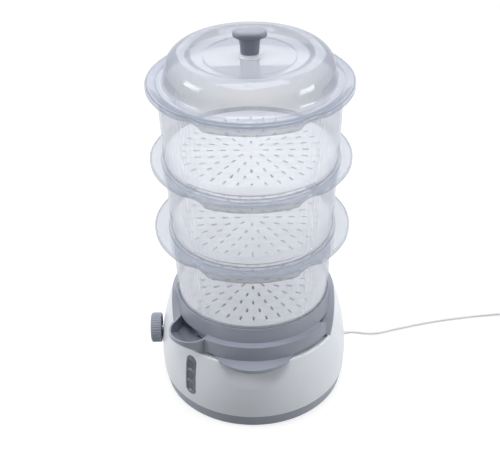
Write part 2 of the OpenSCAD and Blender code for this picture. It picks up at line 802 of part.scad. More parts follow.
module basket(i) {
    foot = foot_at(i);
    top = foot + basket_draft;
    seat = foot_at(i + 1) + foot_gap;
    z0 = basket_z(i);
    h = basket_h;
    under = h - nest - flange_t;
    translate([0, 0, z0]) {
        rotate_extrude() polygon([[foot - basket_wall, 0], [foot, 0], [top - 0.6, under - 5],
            [top + 0.4, under - 2], [top + 3, under], [seat + 2, under], [seat + 3, h - flange_t],
            [seat + 3, h], [seat, h], [seat, h - nest], [top - basket_wall, h - nest],
            [top - basket_wall - 0.5, under - 4], [foot - basket_wall, foot_h_basket + floor_t]]);
        translate([0, 0, h - flange_t]) linear_extrude(flange_t) difference() {
            flange_plan(flange_r, edge_w / 2);
            circle(seat + 2);
        }
        translate([0, 0, foot_h_basket]) linear_extrude(floor_t) difference() {
            circle(foot - 1);
            floor_slots(foot - basket_wall - 3);
        }
        flange_edge(h);
    }
}

module basket_1() {
    color([0.86, 0.88, 0.92, 0.5]) basket(0);
}

module basket_2() {
    color([0.86, 0.88, 0.92, 0.5]) basket(1);
}

module basket_3() {
    color([0.86, 0.88, 0.92, 0.5]) basket(2);
}

// Section of the lid's dome, moved in by d
function dome_side(d) =
    let (r = dome_r - crown_r, z = lid_z + flange_t, h = crown_h)
    [for (i = [0 : 9]) [crown_r + (r - 2) * cos(10 * i) - d * cos(10 * i), z + h - r + (r - d) * sin(10 * i)]];

module lid() {
    z = lid_z + flange_t;
    locate = foot_at(3) + foot_gap;
    color([0.86, 0.88, 0.92, 0.5]) difference() {
        union() {
            rotate_extrude() polygon(concat([[dome_r, z]], dome_side(0),
                [[crown_r - 4, z + crown_h - 0.6], [disc_r + 14, disc_z + 1.2], [disc_r, disc_z],
                    [0, disc_z], [0, disc_z - lid_wall], [disc_r, disc_z - lid_wall],
                    [disc_r + 14.5, disc_z + 1.2 - lid_wall],
                    [crown_r - 3.6, z + crown_h - 0.6 - lid_wall]],
                [for (i = [9 : -1 : 0]) dome_side(lid_wall)[i]], [[dome_r - lid_wall, lid_z],
                    [locate + 4, lid_z], [locate + 4, z]]));
            translate([0, 0, lid_z]) linear_extrude(flange_t) difference() {
                flange_plan(flange_r, edge_w + still_gap);
                circle(dome_r + 1);
            }
            ring(locate - 3.6, locate - foot_gap - 0.2, lid_z - nest, lid_z + 1);
        }
        // steam vents at the back of the crown
        for (a = [172, 180, 188]) facing(a) translate([crown_r - 6.4, 0, z])
            cylinder(r = vent_r, h = big);
        translate([0, 0, disc_z - big / 2]) cylinder(r = knob_screw_r + still_gap, h = big);
    }
}

// A cap or stem outline: length l, width w, both ends round
module stadium(l, w) {
    for (s = [-1, 1]) translate([s * (l - w) / 2, 0]) circle(w / 2);
    square([l - w, w], center = true);
}

module knob_collar() {
    color([0.95, 0.96, 0.97]) difference() {
        translate([0, 0, disc_z]) cylinder(r1 = stem_foot / 2 + 2.4, r2 = stem_foot / 2 + 0.6, h = collar_h);
        translate([0, 0, disc_z - eps]) cylinder(r = knob_screw_r + still_gap, h = collar_h + 1);
    }
}

module lid_knob() {
    cap_z = knob_h - cap_h;
    color([0.6, 0.62, 0.67]) translate([0, 0, knob_z]) difference() {
        union() {
            hull() {
                linear_extrude(eps) stadium(stem_foot, 15, $fn = 32);
                translate([0, 0, cap_z]) linear_extrude(eps) stadium(stem_top, 17, $fn = 32);
            }
            hull() for (s = [-1, 1]) translate([s * (cap_l - cap_w) / 2, 0, cap_z]) {
                cylinder(r = cap_w / 2 - 1.5, h = eps, $fn = 32);
                translate([0, 0, 1.5]) cylinder(r = cap_w / 2, h = cap_h - 4.5, $fn = 32);
                translate([0, 0, cap_h - 1.4]) cylinder(r = cap_w / 2 - 1.6, h = eps, $fn = 32);
                translate([0, 0, cap_h - eps]) cylinder(r = cap_w / 2 - 5, h = eps, $fn = 32);
            }
        }
        translate([0, 0, -eps]) cylinder(r = knob_screw_r, h = 14);
    }
}

module knob_screw() {
    color([0.75, 0.76, 0.78]) {
        translate([0, 0, disc_z - lid_wall - 2]) cylinder(r = 4.5, h = 2);
        translate([0, 0, disc_z - lid_wall - eps]) cylinder(r = knob_screw_r, h = lid_wall + collar_h + 12);
    }
}

base_shell();
bottom_pan();
rubber_feet();
case_screws();
water_tank();
heater_seal();
heating_plate();
heater_tube();
thermostat();
thermal_fuse();
steam_sleeve();
timer_case();
timer_knob();
timer_shaft();
gauge_bezel();
gauge_lens();
terminal_block();
inner_wires();
cord_clamp();
cord_gland();
mains_cord();
cord_coil();
cord_tie();
plug_body();
plug_pins();
drip_tray();
basket_1();
basket_2();
basket_3();
lid();
knob_collar();
lid_knob();
knob_screw();
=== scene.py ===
"""Looks of an electric food steamer: clear stacked baskets on a white base with a grey drip tray.

Every class holds the sizes of one sub-assembly in millimetres, builds its meshes in the frame of
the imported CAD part, and dresses them. Angles round the steamer run from the front (-Y) to the
left (-X), in degrees.
"""

import logging
import math
from dataclasses import dataclass, field
from enum import Enum
from typing import Callable, Sequence

import bmesh
import bpy
from bpy.types import Curve, Material, Node, NodeSocket, NodeTree, Object
from mathutils import Matrix, Vector

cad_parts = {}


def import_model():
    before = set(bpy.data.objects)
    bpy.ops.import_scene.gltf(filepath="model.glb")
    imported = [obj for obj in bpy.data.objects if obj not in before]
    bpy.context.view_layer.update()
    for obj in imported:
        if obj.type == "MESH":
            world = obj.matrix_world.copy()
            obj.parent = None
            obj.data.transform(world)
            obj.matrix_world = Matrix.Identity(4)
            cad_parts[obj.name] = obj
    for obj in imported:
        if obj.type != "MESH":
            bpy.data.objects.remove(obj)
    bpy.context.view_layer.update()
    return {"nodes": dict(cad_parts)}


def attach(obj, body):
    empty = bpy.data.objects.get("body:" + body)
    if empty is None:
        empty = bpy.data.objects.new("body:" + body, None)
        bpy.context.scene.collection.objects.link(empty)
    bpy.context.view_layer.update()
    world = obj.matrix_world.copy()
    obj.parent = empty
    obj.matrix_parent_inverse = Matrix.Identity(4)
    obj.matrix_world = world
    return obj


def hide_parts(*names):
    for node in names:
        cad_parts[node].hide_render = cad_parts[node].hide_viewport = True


log = logging.getLogger("steamer")

MM = 0.001
NOISE_LOW, NOISE_HIGH = 0.3, 0.7  # range that most of a noise lies in
PLASTIC_IOR = 1.5
EDGE_SAMPLES = 6  # samples with which a material rounds an edge
Colour = tuple[float, float, float]
Section = list[tuple[float, float]]
Point = tuple[float, float, float]


class Body(Enum):
    """Rigid bodies of the steamer that a piece can ride on."""

    BASE = "base"
    DIAL = "timer_dial"
    TIER_1 = "tier_1"
    TIER_2 = "tier_2"
    TIER_3 = "tier_3"
    LID = "lid"


class Slot(Enum):
    """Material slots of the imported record."""

    SHELL = "shell_white"
    DIAL = "dial_grey"
    GAUGE = "gauge_dark"
    CORD = "cord_white"
    TIE = "tie_dark"
    CLEAR = "clear_plastic"
    COLLAR = "collar_clear"
    KNOB = "knob_grey"


# ---------------------------------------------------------------- finishes
def linear(colour: Colour) -> tuple[float, float, float, float]:
    """Turns a display colour of 0 to 1 into the linear colour a shader socket takes.

    Args:
        colour: red, green and blue as they are seen on screen.

    Returns:
        Linear red, green, blue and an alpha of 1.
    """
    lin = [c / 12.92 if c <= 0.04045 else ((c + 0.055) / 1.055) ** 2.4 for c in colour]
    return (lin[0], lin[1], lin[2], 1.0)


def mapped(
    tree: NodeTree, source: NodeSocket, low: float, high: float, start: float = 0, end: float = 1
) -> Node:
    """Adds a node that maps a socket's range from start to end onto low to high.

    Args:
        tree: node tree to add it to.
        source: socket to map.
        low: value at the start.
        high: value at the end.
        start: lowest value of the source.
        end: highest value of the source.

    Returns:
        The node, with its result as "Result".
    """
    node = tree.nodes.new("ShaderNodeMapRange")
    for name, value in (("From Min", start), ("From Max", end), ("To Min", low), ("To Max", high)):
        node.inputs[name].default_value = value
    tree.links.new(source, node.inputs["Value"])
    return node


def combined(tree: NodeTree, operation: str, *sources: NodeSocket) -> NodeSocket:
    """Adds a math node over two sockets.

    Args:
        tree: node tree to add it to.
        operation: Blender's name of the operation.
        sources: the two sockets.

    Returns:
        The result's socket.
    """
    node = tree.nodes.new("ShaderNodeMath")
    node.operation = operation
    for source, target in zip(sources, node.inputs):
        tree.links.new(source, target)
    return node.outputs[0]


class NodeSheet:
    """A material's node tree with short calls to add and join nodes."""

    def __init__(self, name: str) -> None:
        """Starts an empty material.

        Args:
            name: the material's name.
        """
        self.material = bpy.data.materials.new(name)
        self.material.use_nodes = True
        self.tree = self.material.node_tree
        self.tree.nodes.clear()
        self.output = self.tree.nodes.new("ShaderNodeOutputMaterial")
        self.shader = self.tree.nodes.new("ShaderNodeBsdfPrincipled")
        self.join(self.shader.outputs[0], self.output.inputs[0])

    def join(self, source: NodeSocket, target: NodeSocket) -> None:
        """Links two sockets."""
        self.tree.links.new(source, target)

    def noise(self, scale: float, detail: float = 2.0) -> NodeSocket:
        """Adds a noise that is fixed to the object.

        Args:
            scale: noise cells to the metre.
            detail: octaves of finer noise.

        Returns:
            The noise's factor socket.
        """
        place = self.tree.nodes.new("ShaderNodeTexCoord")
        noise = self.tree.nodes.new("ShaderNodeTexNoise")
        noise.inputs["Scale"].default_value = scale
        noise.inputs["Detail"].default_value = detail
        self.join(place.outputs["Object"], noise.inputs["Vector"])
        return noise.outputs["Fac"]

    def spread(self, source: NodeSocket, low: float, high: float) -> NodeSocket:
        """Maps a 0 to 1 socket onto the range from low to high.

        Args:
            source: socket to map.
            low: value at NOISE_LOW of the source.
            high: value at NOISE_HIGH of the source.

        Returns:
            The mapped socket.
        """
        node = mapped(self.tree, source, low, high, NOISE_LOW, NOISE_HIGH)
        return node.outputs["Result"]

    def tint(self, source: NodeSocket, colour: Colour, change: float) -> None:
        """Varies the base colour a little about one colour.

        Args:
            source: socket that steers the change.
            colour: the display colour in the middle.
            change: share by which the colour gets darker and lighter.
        """
        ramp = self.tree.nodes.new("ShaderNodeValToRGB")
        ramp.color_ramp.elements[0].position = NOISE_LOW
        ramp.color_ramp.elements[1].position = NOISE_HIGH
        middle = linear(colour)
        for element, factor in zip(ramp.color_ramp.elements, (1 - change, 1 + change)):
            element.color = tuple(min(1.0, c * factor) for c in middle[:3]) + (1.0,)
        self.join(source, ramp.inputs["Fac"])
        self.join(ramp.outputs["Color"], self.shader.inputs["Base Color"])

    def bump(self, source: NodeSocket, height: float, edge_round: float = 0.0) -> None:
        """Adds a bump and rounds the look of sharp edges.

        Args:
            source: socket that gives the bump.
            height: the bump's height in metres.
            edge_round: radius of the edges in metres, or 0 to leave them.
        """
        node = self.tree.nodes.new("ShaderNodeBump")
        node.inputs["Strength"].default_value = 1.0
        node.inputs["Distance"].default_value = height
        self.join(source, node.inputs["Height"])
        if edge_round > 0:
            rounding = self.tree.nodes.new("ShaderNodeBevel")
            rounding.samples = EDGE_SAMPLES
            rounding.inputs["Radius"].default_value = edge_round
            self.join(rounding.outputs["Normal"], node.inputs["Normal"])
        self.join(node.outputs["Normal"], self.shader.inputs["Normal"])


@dataclass(frozen=True)
class PlasticFinish:
    """Moulded plastic or rubber with a fine grain and slight marks from use."""

    name: str
    colour: Colour
    rough: float = 0.35
    rough_spread: float = 0.06
    grain: float = 900.0
    grain_height: float = 0.00002
    change: float = 0.03
    edge_round: float = 0.0
    cloud_scale: float = 14.0
    patch_scale: float = 60.0

    def make(self) -> Material:
        """Builds the material."""
        sheet = NodeSheet(self.name)
        sheet.tint(sheet.noise(self.cloud_scale, 3.0), self.colour, self.change)
        low, high = self.rough - self.rough_spread, self.rough + self.rough_spread
        rough = sheet.spread(sheet.noise(self.patch_scale, 4.0), low, high)
        sheet.join(rough, sheet.shader.inputs["Roughness"])
        sheet.bump(sheet.noise(self.grain, 2.0), self.grain_height, self.edge_round)
        sheet.shader.inputs["IOR"].default_value = PLASTIC_IOR
        return sheet.material


@dataclass(frozen=True)
class MetalFinish:
    """Bare metal with fine marks."""

    name: str
    colour: Colour
    rough: float = 0.28
    change: float = 0.06
    cloud_scale: float = 25.0
    mark_scale: float = 350.0
    mark_height: float = 0.00001

    def make(self) -> Material:
        """Builds the material."""
        sheet = NodeSheet(self.name)
        marks = sheet.noise(self.mark_scale, 5.0)
        sheet.tint(sheet.noise(self.cloud_scale), self.colour, self.change)
        rough = sheet.spread(marks, self.rough - 0.08, self.rough + 0.1)
        sheet.join(rough, sheet.shader.inputs["Roughness"])
        sheet.bump(marks, self.mark_height)
        sheet.shader.inputs["Metallic"].default_value = 1.0
        return sheet.material


@dataclass(frozen=True)
class ClearFinish:
    """Clear plastic: see-through where it is met square on, denser along its edges."""

    name: str
    colour: Colour = (0.86, 0.875, 0.915)
    edge_colour: Colour = (0.62, 0.65, 0.73)
    square_on: float = 0.15
    edge_on: float = 0.8
    rough: float = 0.07
    shade: float = 0.2
    facing_blend: float = 0.28
    edge_from: float = 0.35
    gloss: float = 0.8
    patch_scale: float = 45.0
    ripple_scale: float = 160.0
    ripple_height: float = 0.00003

    def make(self) -> Material:
        """Builds the material."""
        sheet = NodeSheet(self.name)
        nodes = sheet.tree.nodes
        facing = nodes.new("ShaderNodeLayerWeight")
        facing.inputs["Blend"].default_value = self.facing_blend
        dense = mapped(sheet.tree, facing.outputs["Facing"], self.square_on, self.edge_on)
        held = combined(sheet.tree, "MULTIPLY", dense.outputs["Result"], self.light_held(sheet))
        sheet.join(held, sheet.shader.inputs["Alpha"])
        ramp = nodes.new("ShaderNodeValToRGB")
        ramp.color_ramp.elements[0].position = self.edge_from
        ramp.color_ramp.elements[0].color = linear(self.colour)
        ramp.color_ramp.elements[1].color = linear(self.edge_colour)
        sheet.join(facing.outputs["Facing"], ramp.inputs["Fac"])
        sheet.join(ramp.outputs["Color"], sheet.shader.inputs["Base Color"])
        patches = sheet.noise(self.patch_scale, 3.0)
        rough = sheet.spread(patches, self.rough - 0.03, self.rough + 0.05)
        sheet.join(rough, sheet.shader.inputs["Roughness"])
        sheet.bump(sheet.noise(self.ripple_scale, 1.0), self.ripple_height)
        sheet.shader.inputs["IOR"].default_value = PLASTIC_IOR
        sheet.shader.inputs["Specular IOR Level"].default_value = self.gloss
        return sheet.material

    def light_held(self, sheet: NodeSheet) -> NodeSocket:
        """Adds a factor that is 1 for what is seen, and lower for light passing through.

        Args:
            sheet: the material's node sheet.

        Returns:
            The factor's socket.
        """
        path = sheet.tree.nodes.new("ShaderNodeLightPath")
        rays = (path.outputs["Is Shadow Ray"], path.outputs["Is Diffuse Ray"])
        either = combined(sheet.tree, "MAXIMUM", *rays)
        return mapped(sheet.tree, either, 1.0, self.shade).outputs["Result"]


@dataclass(frozen=True)
class Palette:
    """Every finish of the steamer, made once."""

    shell: Material
    pan: Material
    tray: Material
    dial: Material
    mark: Material
    gauge: Material
    window: Material
    clear: Material
    clear_floor: Material
    clear_edge: Material
    lid_clear: Material
    collar: Material
    knob: Material
    cord: Material
    tie: Material
    rubber: Material
    seal: Material
    tank: Material
    inner_light: Material
    inner_dark: Material
    wire: Material
    steel: Material
    aluminium: Material
    pins: Material

    @classmethod
    def mixed(cls) -> "Palette":
        """Makes all the materials."""
        finishes = dict(
            shell=PlasticFinish("white_shell_plastic", (0.9, 0.915, 0.94), 0.34, 0.05, 1400.0),
            pan=PlasticFinish("grey_pan_plastic", (0.58, 0.605, 0.66), 0.4),
            tray=PlasticFinish("grey_tray_plastic", (0.59, 0.61, 0.66), 0.36, edge_round=0.0009),
            dial=PlasticFinish("grey_dial_plastic", (0.56, 0.58, 0.63), 0.42),
            mark=PlasticFinish("pale_pointer_plastic", (0.86, 0.87, 0.89), 0.4),
            gauge=PlasticFinish("dark_gauge_plastic", (0.41, 0.43, 0.49), 0.25),
            window=PlasticFinish("smoky_window_plastic", (0.27, 0.29, 0.34), 0.12),
            clear=ClearFinish("clear_basket_plastic"),
            clear_floor=ClearFinish(
                "clear_floor_plastic", (0.94, 0.95, 0.975), (0.85, 0.87, 0.91), 0.76, 0.94, 0.14
            ),
            clear_edge=ClearFinish(
                "clear_edge_plastic", (0.6, 0.63, 0.69), (0.46, 0.49, 0.57), 0.3, 0.92, 0.08
            ),
            # The lid is the baskets' clear plastic; its darker colour is painted shade that tones
            # down the light falling on its top.
            lid_clear=ClearFinish(
                "clear_lid_plastic_painted_shade", (0.62, 0.645, 0.7), (0.5, 0.53, 0.61), 0.22, 0.84
            ),
            # The collar is clear plastic; its near-white, dense colour is a painted highlight.
            collar=ClearFinish(
                "collar_plastic_painted_highlight", (0.93, 0.94, 0.96), (0.75, 0.77, 0.83), 0.5, 0.95, 0.1
            ),
            knob=PlasticFinish("light_grey_knob_plastic", (0.5, 0.52, 0.58), 0.38),
            cord=PlasticFinish(
                "white_cord_sheath", (0.97, 0.972, 0.977), 0.45, 0.06, 1600.0, 0.00003
            ),
            tie=PlasticFinish("dark_tie_plastic", (0.2, 0.2, 0.21), 0.5),
            rubber=PlasticFinish(
                "black_foot_rubber", (0.16, 0.16, 0.17), 0.7, 0.08, 1100.0, 0.00005
            ),
            seal=PlasticFinish("red_seal_silicone", (0.62, 0.24, 0.18), 0.5),
            tank=PlasticFinish("white_tank_plastic", (0.86, 0.87, 0.885), 0.3),
            inner_light=PlasticFinish("cream_inner_plastic", (0.82, 0.81, 0.76), 0.5),
            inner_dark=PlasticFinish("black_inner_plastic", (0.22, 0.22, 0.24), 0.5),
            wire=PlasticFinish("blue_wire_sleeve", (0.15, 0.28, 0.62), 0.45),
            steel=MetalFinish("bright_steel", (0.74, 0.75, 0.77), 0.26),
            aluminium=MetalFinish("cast_aluminium", (0.78, 0.79, 0.81), 0.42),
            pins=MetalFinish("nickel_pins", (0.82, 0.81, 0.78), 0.18),
        )
        return cls(**{name: finish.make() for name, finish in finishes.items()})


# ---------------------------------------------------------------- mesh making
def solid_from(name: str, points: Sequence[Point], faces: Sequence[Sequence[int]]) -> Object:
    """Makes one closed mesh object from points in millimetres.

    Args:
        name: the piece's name.
        points: corner points in millimetres.
        faces: point numbers of each face.

    Returns:
        The new object, with doubled points joined and normals outwards.
    """
    mesh = bpy.data.meshes.new(name)
    mesh.from_pydata([tuple(c * MM for c in p) for p in points], [], [list(f) for f in faces])
    return closed(bpy.data.objects.new(name, mesh))


def closed(piece: Object) -> Object:
    """Joins doubled points, drops edges without faces, turns normals out and links the piece.

    Args:
        piece: a new mesh object that is not in the scene yet.

    Returns:
        The same piece, in the scene.
    """
    work = bmesh.new()
    work.from_mesh(piece.data)
    bmesh.ops.remove_doubles(work, verts=work.verts, dist=1e-6)
    bmesh.ops.dissolve_degenerate(work, edges=work.edges, dist=1e-8)
    bmesh.ops.delete(work, geom=[e for e in work.edges if not e.link_faces], context="EDGES")
    bmesh.ops.recalc_face_normals(work, faces=work.faces)
    work.to_mesh(piece.data)
    work.free()
    bpy.context.scene.collection.objects.link(piece)
    return piece


def smooth(piece: Object, sharp_over: float = 38.0) -> Object:
    """Shades a piece smooth, with edges sharper than an angle left sharp.

    Args:
        piece: mesh object.
        sharp_over: angle in degrees.

    Returns:
        The same piece.
    """
    for face in piece.data.polygons:
        face.use_smooth = True
    piece.data.set_sharp_from_angle(angle=math.radians(sharp_over))
    return piece


def polar(radius: float, angle: float, height: float) -> Point:
    """Point at a radius and height, at an angle in degrees from the front to the left."""
    a = math.radians(angle)
    return (-radius * math.sin(a), -radius * math.cos(a), height)


def turned(
    name: str, section: Callable[[float], Section], steps: int, base: Point = (0, 0, 0)
) -> Object:
    """Turns a closed outline about the vertical axis; the outline may change with the angle.

    Args:
        name: the piece's name.
        section: gives the outline's (radius, height) points at an angle in degrees.
        steps: number of steps in the full turn.
        base: point that the axis passes through, added to every point.

    Returns:
        The piece as a closed mesh.
    """
    points: list[Point] = []
    count = 0
    for i in range(steps):
        angle = 360.0 * i / steps
        outline = section(angle)
        count = len(outline)
        for r, z in outline:
            x, y, h = polar(r, angle, z)
            points.append((x + base[0], y + base[1], h + base[2]))
    faces = []
    for i in range(steps):
        here, there = i * count, (i + 1) % steps * count
        for k in range(count):
            after = (k + 1) % count
            faces.append((here + k, there + k, there + after, here + after))
    return smooth(solid_from(name, points, faces))


def bands(starts: Sequence[int], count: int) -> list[tuple[int, ...]]:
    """Quads between neighbouring rings of points.

    Args:
        starts: each ring's first point number, in order.
        count: points in a ring.

    Returns:
        Point numbers of each quad.
    """
    faces = []
    for here, there in zip(starts, starts[1:]):
        for k in range(count):
            after = (k + 1) % count
            faces.append((here + k, here + after, there + after, there + k))
    return faces


def lofted(name: str, rings: Sequence[Sequence[Point]]) -> Object:
    """Skins a stack of rings that all have the same number of points, and closes both ends.

    Args:
        name: the piece's name.
        rings: the rings from one end to the other.

    Returns:
        The piece as a closed mesh.
    """
    n = len(rings[0])
    points = [p for ring in rings for p in ring]
    starts = range(0, len(points), n)
    faces = bands(starts, n)
    faces += [tuple(reversed(range(n))), tuple(range(starts[-1], len(points)))]
    return smooth(solid_from(name, points, faces))


def piped(name: str, path: Sequence[Point], radius: float, sides: int = 14) -> Object:
    """Sweeps a round pipe along a path, turning its ring as little as possible.

    Args:
        name: the piece's name.
        path: points of the middle line in millimetres.
        radius: the pipe's radius in millimetres.
        sides: number of sides.

    Returns:
        The pipe as a closed mesh.
    """
    line = [Vector(p) for p in path]
    rings = []
    side = Vector((0, 0, 1))
    for i, p in enumerate(line):
        ahead = (line[min(i + 1, len(line) - 1)] - line[max(i - 1, 0)]).normalized()
        side = (side - side.dot(ahead) * ahead).normalized()
        up = ahead.cross(side)
        turns = [2 * math.pi * k / sides for k in range(sides)]
        rings.append([tuple(p + radius * (math.cos(a) * side + math.sin(a) * up)) for a in turns])
    return lofted(name, rings)


def soft_min(a: float, b: float, width: float) -> float:
    """Lower of two numbers, rounded where they cross."""
    h = max(width - abs(a - b), 0.0) / width
    return min(a, b) - h * h * width / 4


def cut_from(piece: Object, tools: Sequence[Object]) -> None:
    """Cuts tool solids out of a piece for good and removes the tools.

    Args:
        piece: mesh that is cut.
        tools: closed meshes that cut it.
    """
    for tool in tools:
        step = piece.modifiers.new("cut", "BOOLEAN")
        step.operation = "DIFFERENCE"
        step.solver = "EXACT"
        step.object = tool
    graph = bpy.context.evaluated_depsgraph_get()
    made = bpy.data.meshes.new_from_object(piece.evaluated_get(graph))
    piece.modifiers.clear()
    piece.data = made
    for tool in tools:
        bpy.data.objects.remove(tool)


def edged(
    piece: Object, material: Material, is_edge: Callable[[float, float], bool]
) -> None:
    """Gives a second finish to the faces of a turned piece that lie in its edges.

    Args:
        piece: a piece that already has its main finish.
        material: finish of the edges.
        is_edge: tells from a face's radius and height in millimetres whether it is an edge.
    """
    piece.data.materials.append(material)
    for face in piece.data.polygons:
        x, y, z = face.center
        if is_edge(math.hypot(x, y) / MM, z / MM):
            face.material_index = 1


def dress(piece: Object, material: Material, body: Body) -> Object:
    """Gives a piece its material and the body that it rides on.

    Args:
        piece: the piece.
        material: its finish.
        body: the body it moves with.

    Returns:
        The same piece.
    """
    piece.data.materials.clear()
    piece.data.materials.append(material)
    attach(piece, body.value)
    log.info("%s rides on %s", piece.name, body.value)
    return piece


# ---------------------------------------------------------------- camera, floor and light
@dataclass(frozen=True)
class Viewpoint:
    """Where the photographer stood."""

    place: Point = (-0.0027, -1.05731, 0.93955)
    lens: float = 72.0
    down: float = 33.653
    roll: float = 0.85
    sensor: float = 36.0

    def build(self) -> Object:
        """Makes the camera and sets it as the scene's."""
        p, t = math.radians(self.down), math.radians(self.roll)
        right, up = Vector((1, 0, 0)), Vector((0, math.sin(p), math.cos(p)))
        back = Vector((0, -math.cos(p), math.sin(p)))
        x_axis = math.cos(t) * right - math.sin(t) * up
        y_axis = math.sin(t) * right + math.cos(t) * up
        data = bpy.data.cameras.new("photo_camera")
        data.lens, data.sensor_width = self.lens, self.sensor
        camera = bpy.data.objects.new("photo_camera", data)
        bpy.context.scene.collection.objects.link(camera)
        turn = Matrix((x_axis, y_axis, back)).transposed().to_4x4()
        camera.matrix_world = Matrix.Translation(self.place) @ turn
        bpy.context.scene.camera = camera
        log.info("camera at %s", self.place)
        return camera


@dataclass(frozen=True)
class Lamp:
    """One soft box."""

    name: str
    place: Point
    aim: Point
    size: tuple[float, float]
    power: float

    def build(self) -> Object:
        """Makes the area lamp, turned towards what it lights."""
        data = bpy.data.lights.new(self.name, "AREA")
        data.shape = "RECTANGLE"
        data.size, data.size_y = self.size
        data.energy = self.power
        lamp = bpy.data.objects.new(self.name, data)
        bpy.context.scene.collection.objects.link(lamp)
        lamp.location = self.place
        towards = Vector(self.aim) - Vector(self.place)
        lamp.rotation_euler = towards.to_track_quat("-Z", "Y").to_euler()
        return lamp


@dataclass(frozen=True)
class Studio:
    """White floor, pale surroundings and soft lamps."""

    floor_size: float = 14.0
    low_glow: float = 0.05
    high_glow: float = 0.7
    floor_tone: float = 0.3
    floor_glow: float = 0.76
    glow_colour: Colour = (0.96, 0.975, 1.0)
    glow_lean: Point = (0.0, 0.35, 0.94)
    glow_from: float = -0.1
    lamps: tuple[Lamp, ...] = (
        Lamp("left_softbox", (-1.2, -0.2, 0.8), (0, 0, 0.22), (0.6, 0.45), 7.5),
        Lamp("right_softbox", (1.2, -0.35, 0.45), (0, 0, 0.2), (0.5, 0.42), 6.5),
        Lamp("top_softbox", (0.05, -0.08, 1.75), (0, 0, 0.25), (1.3, 0.9), 15.0),
        Lamp("back_softbox", (0.1, 1.1, 1.2), (0, 0, 0.3), (1.2, 0.8), 6.0),
    )

    def build(self) -> None:
        """Makes the floor, the world and the lamps."""
        self.floor()
        self.world()
        for lamp in self.lamps:
            lamp.build()

    def floor(self) -> Object:
        """Makes the pale floor, which shows white where no shadow falls."""
        half = self.floor_size / 2
        mesh = bpy.data.meshes.new("studio_floor")
        corners = [(-half, -half, 0), (half, -half, 0), (half, half, 0), (-half, half, 0)]
        mesh.from_pydata(corners, [], [(0, 1, 2, 3)])
        floor = bpy.data.objects.new("studio_floor", mesh)
        bpy.context.scene.collection.objects.link(floor)
        sheet = NodeSheet("white_floor_paper")
        nodes = sheet.tree.nodes
        sheet.shader.inputs["Base Color"].default_value = (*[self.floor_tone] * 3, 1)
        sheet.shader.inputs["Roughness"].default_value = 0.9
        sheet.shader.inputs["Specular IOR Level"].default_value = 0.0
        glow = nodes.new("ShaderNodeEmission")
        glow.inputs["Strength"].default_value = self.floor_glow
        both = nodes.new("ShaderNodeAddShader")
        sheet.join(sheet.shader.outputs[0], both.inputs[0])
        sheet.join(glow.outputs[0], both.inputs[1])
        plain = nodes.new("ShaderNodeMixShader")
        sheet.join(self.seen(sheet.tree), plain.inputs["Fac"])
        sheet.join(sheet.shader.outputs[0], plain.inputs[1])
        sheet.join(both.outputs[0], plain.inputs[2])
        sheet.join(plain.outputs[0], sheet.output.inputs[0])
        mesh.materials.append(sheet.material)
        return floor

    def seen(self, tree: NodeTree) -> NodeSocket:
        """Adds a factor that is 1 for what is seen directly, in a mirror or through clear plastic.

        Args:
            tree: node tree to add it to.

        Returns:
            The factor's socket.
        """
        path = tree.nodes.new("ShaderNodeLightPath")
        total = path.outputs["Is Camera Ray"]
        for name in ("Is Glossy Ray", "Is Transmission Ray"):
            total = combined(tree, "MAXIMUM", total, path.outputs[name])
        return total

    def overhead(self, tree: NodeTree) -> NodeSocket:
        """Adds a light level, dim low in front, that grows to the top and the back.

        Args:
            tree: the world's node tree.

        Returns:
            The level's socket.
        """
        place = tree.nodes.new("ShaderNodeTexCoord")
        lean = tree.nodes.new("ShaderNodeVectorMath")
        lean.operation = "DOT_PRODUCT"
        lean.inputs[1].default_value = self.glow_lean
        tree.links.new(place.outputs["Generated"], lean.inputs[0])
        span = (self.low_glow, self.high_glow, self.glow_from)
        level = mapped(tree, lean.outputs["Value"], *span)
        level.interpolation_type = "SMOOTHSTEP"
        return level.outputs["Result"]

    def world(self) -> None:
        """Makes the surroundings: pale to look at, dimmer as a light."""
        world = bpy.data.worlds.new("white_studio")
        bpy.context.scene.world = world
        world.use_nodes = True
        tree = world.node_tree
        tree.nodes.clear()
        light = tree.nodes.new("ShaderNodeBackground")
        light.inputs["Color"].default_value = (*self.glow_colour, 1)
        tree.links.new(self.overhead(tree), light.inputs["Strength"])
        white = tree.nodes.new("ShaderNodeBackground")
        white.inputs["Strength"].default_value = 1.0
        mix = tree.nodes.new("ShaderNodeMixShader")
        out = tree.nodes.new("ShaderNodeOutputWorld")
        tree.links.new(self.seen(tree), mix.inputs["Fac"])
        tree.links.new(light.outputs[0], mix.inputs[1])
        tree.links.new(white.outputs[0], mix.inputs[2])
        tree.links.new(mix.outputs[0], out.inputs[0])


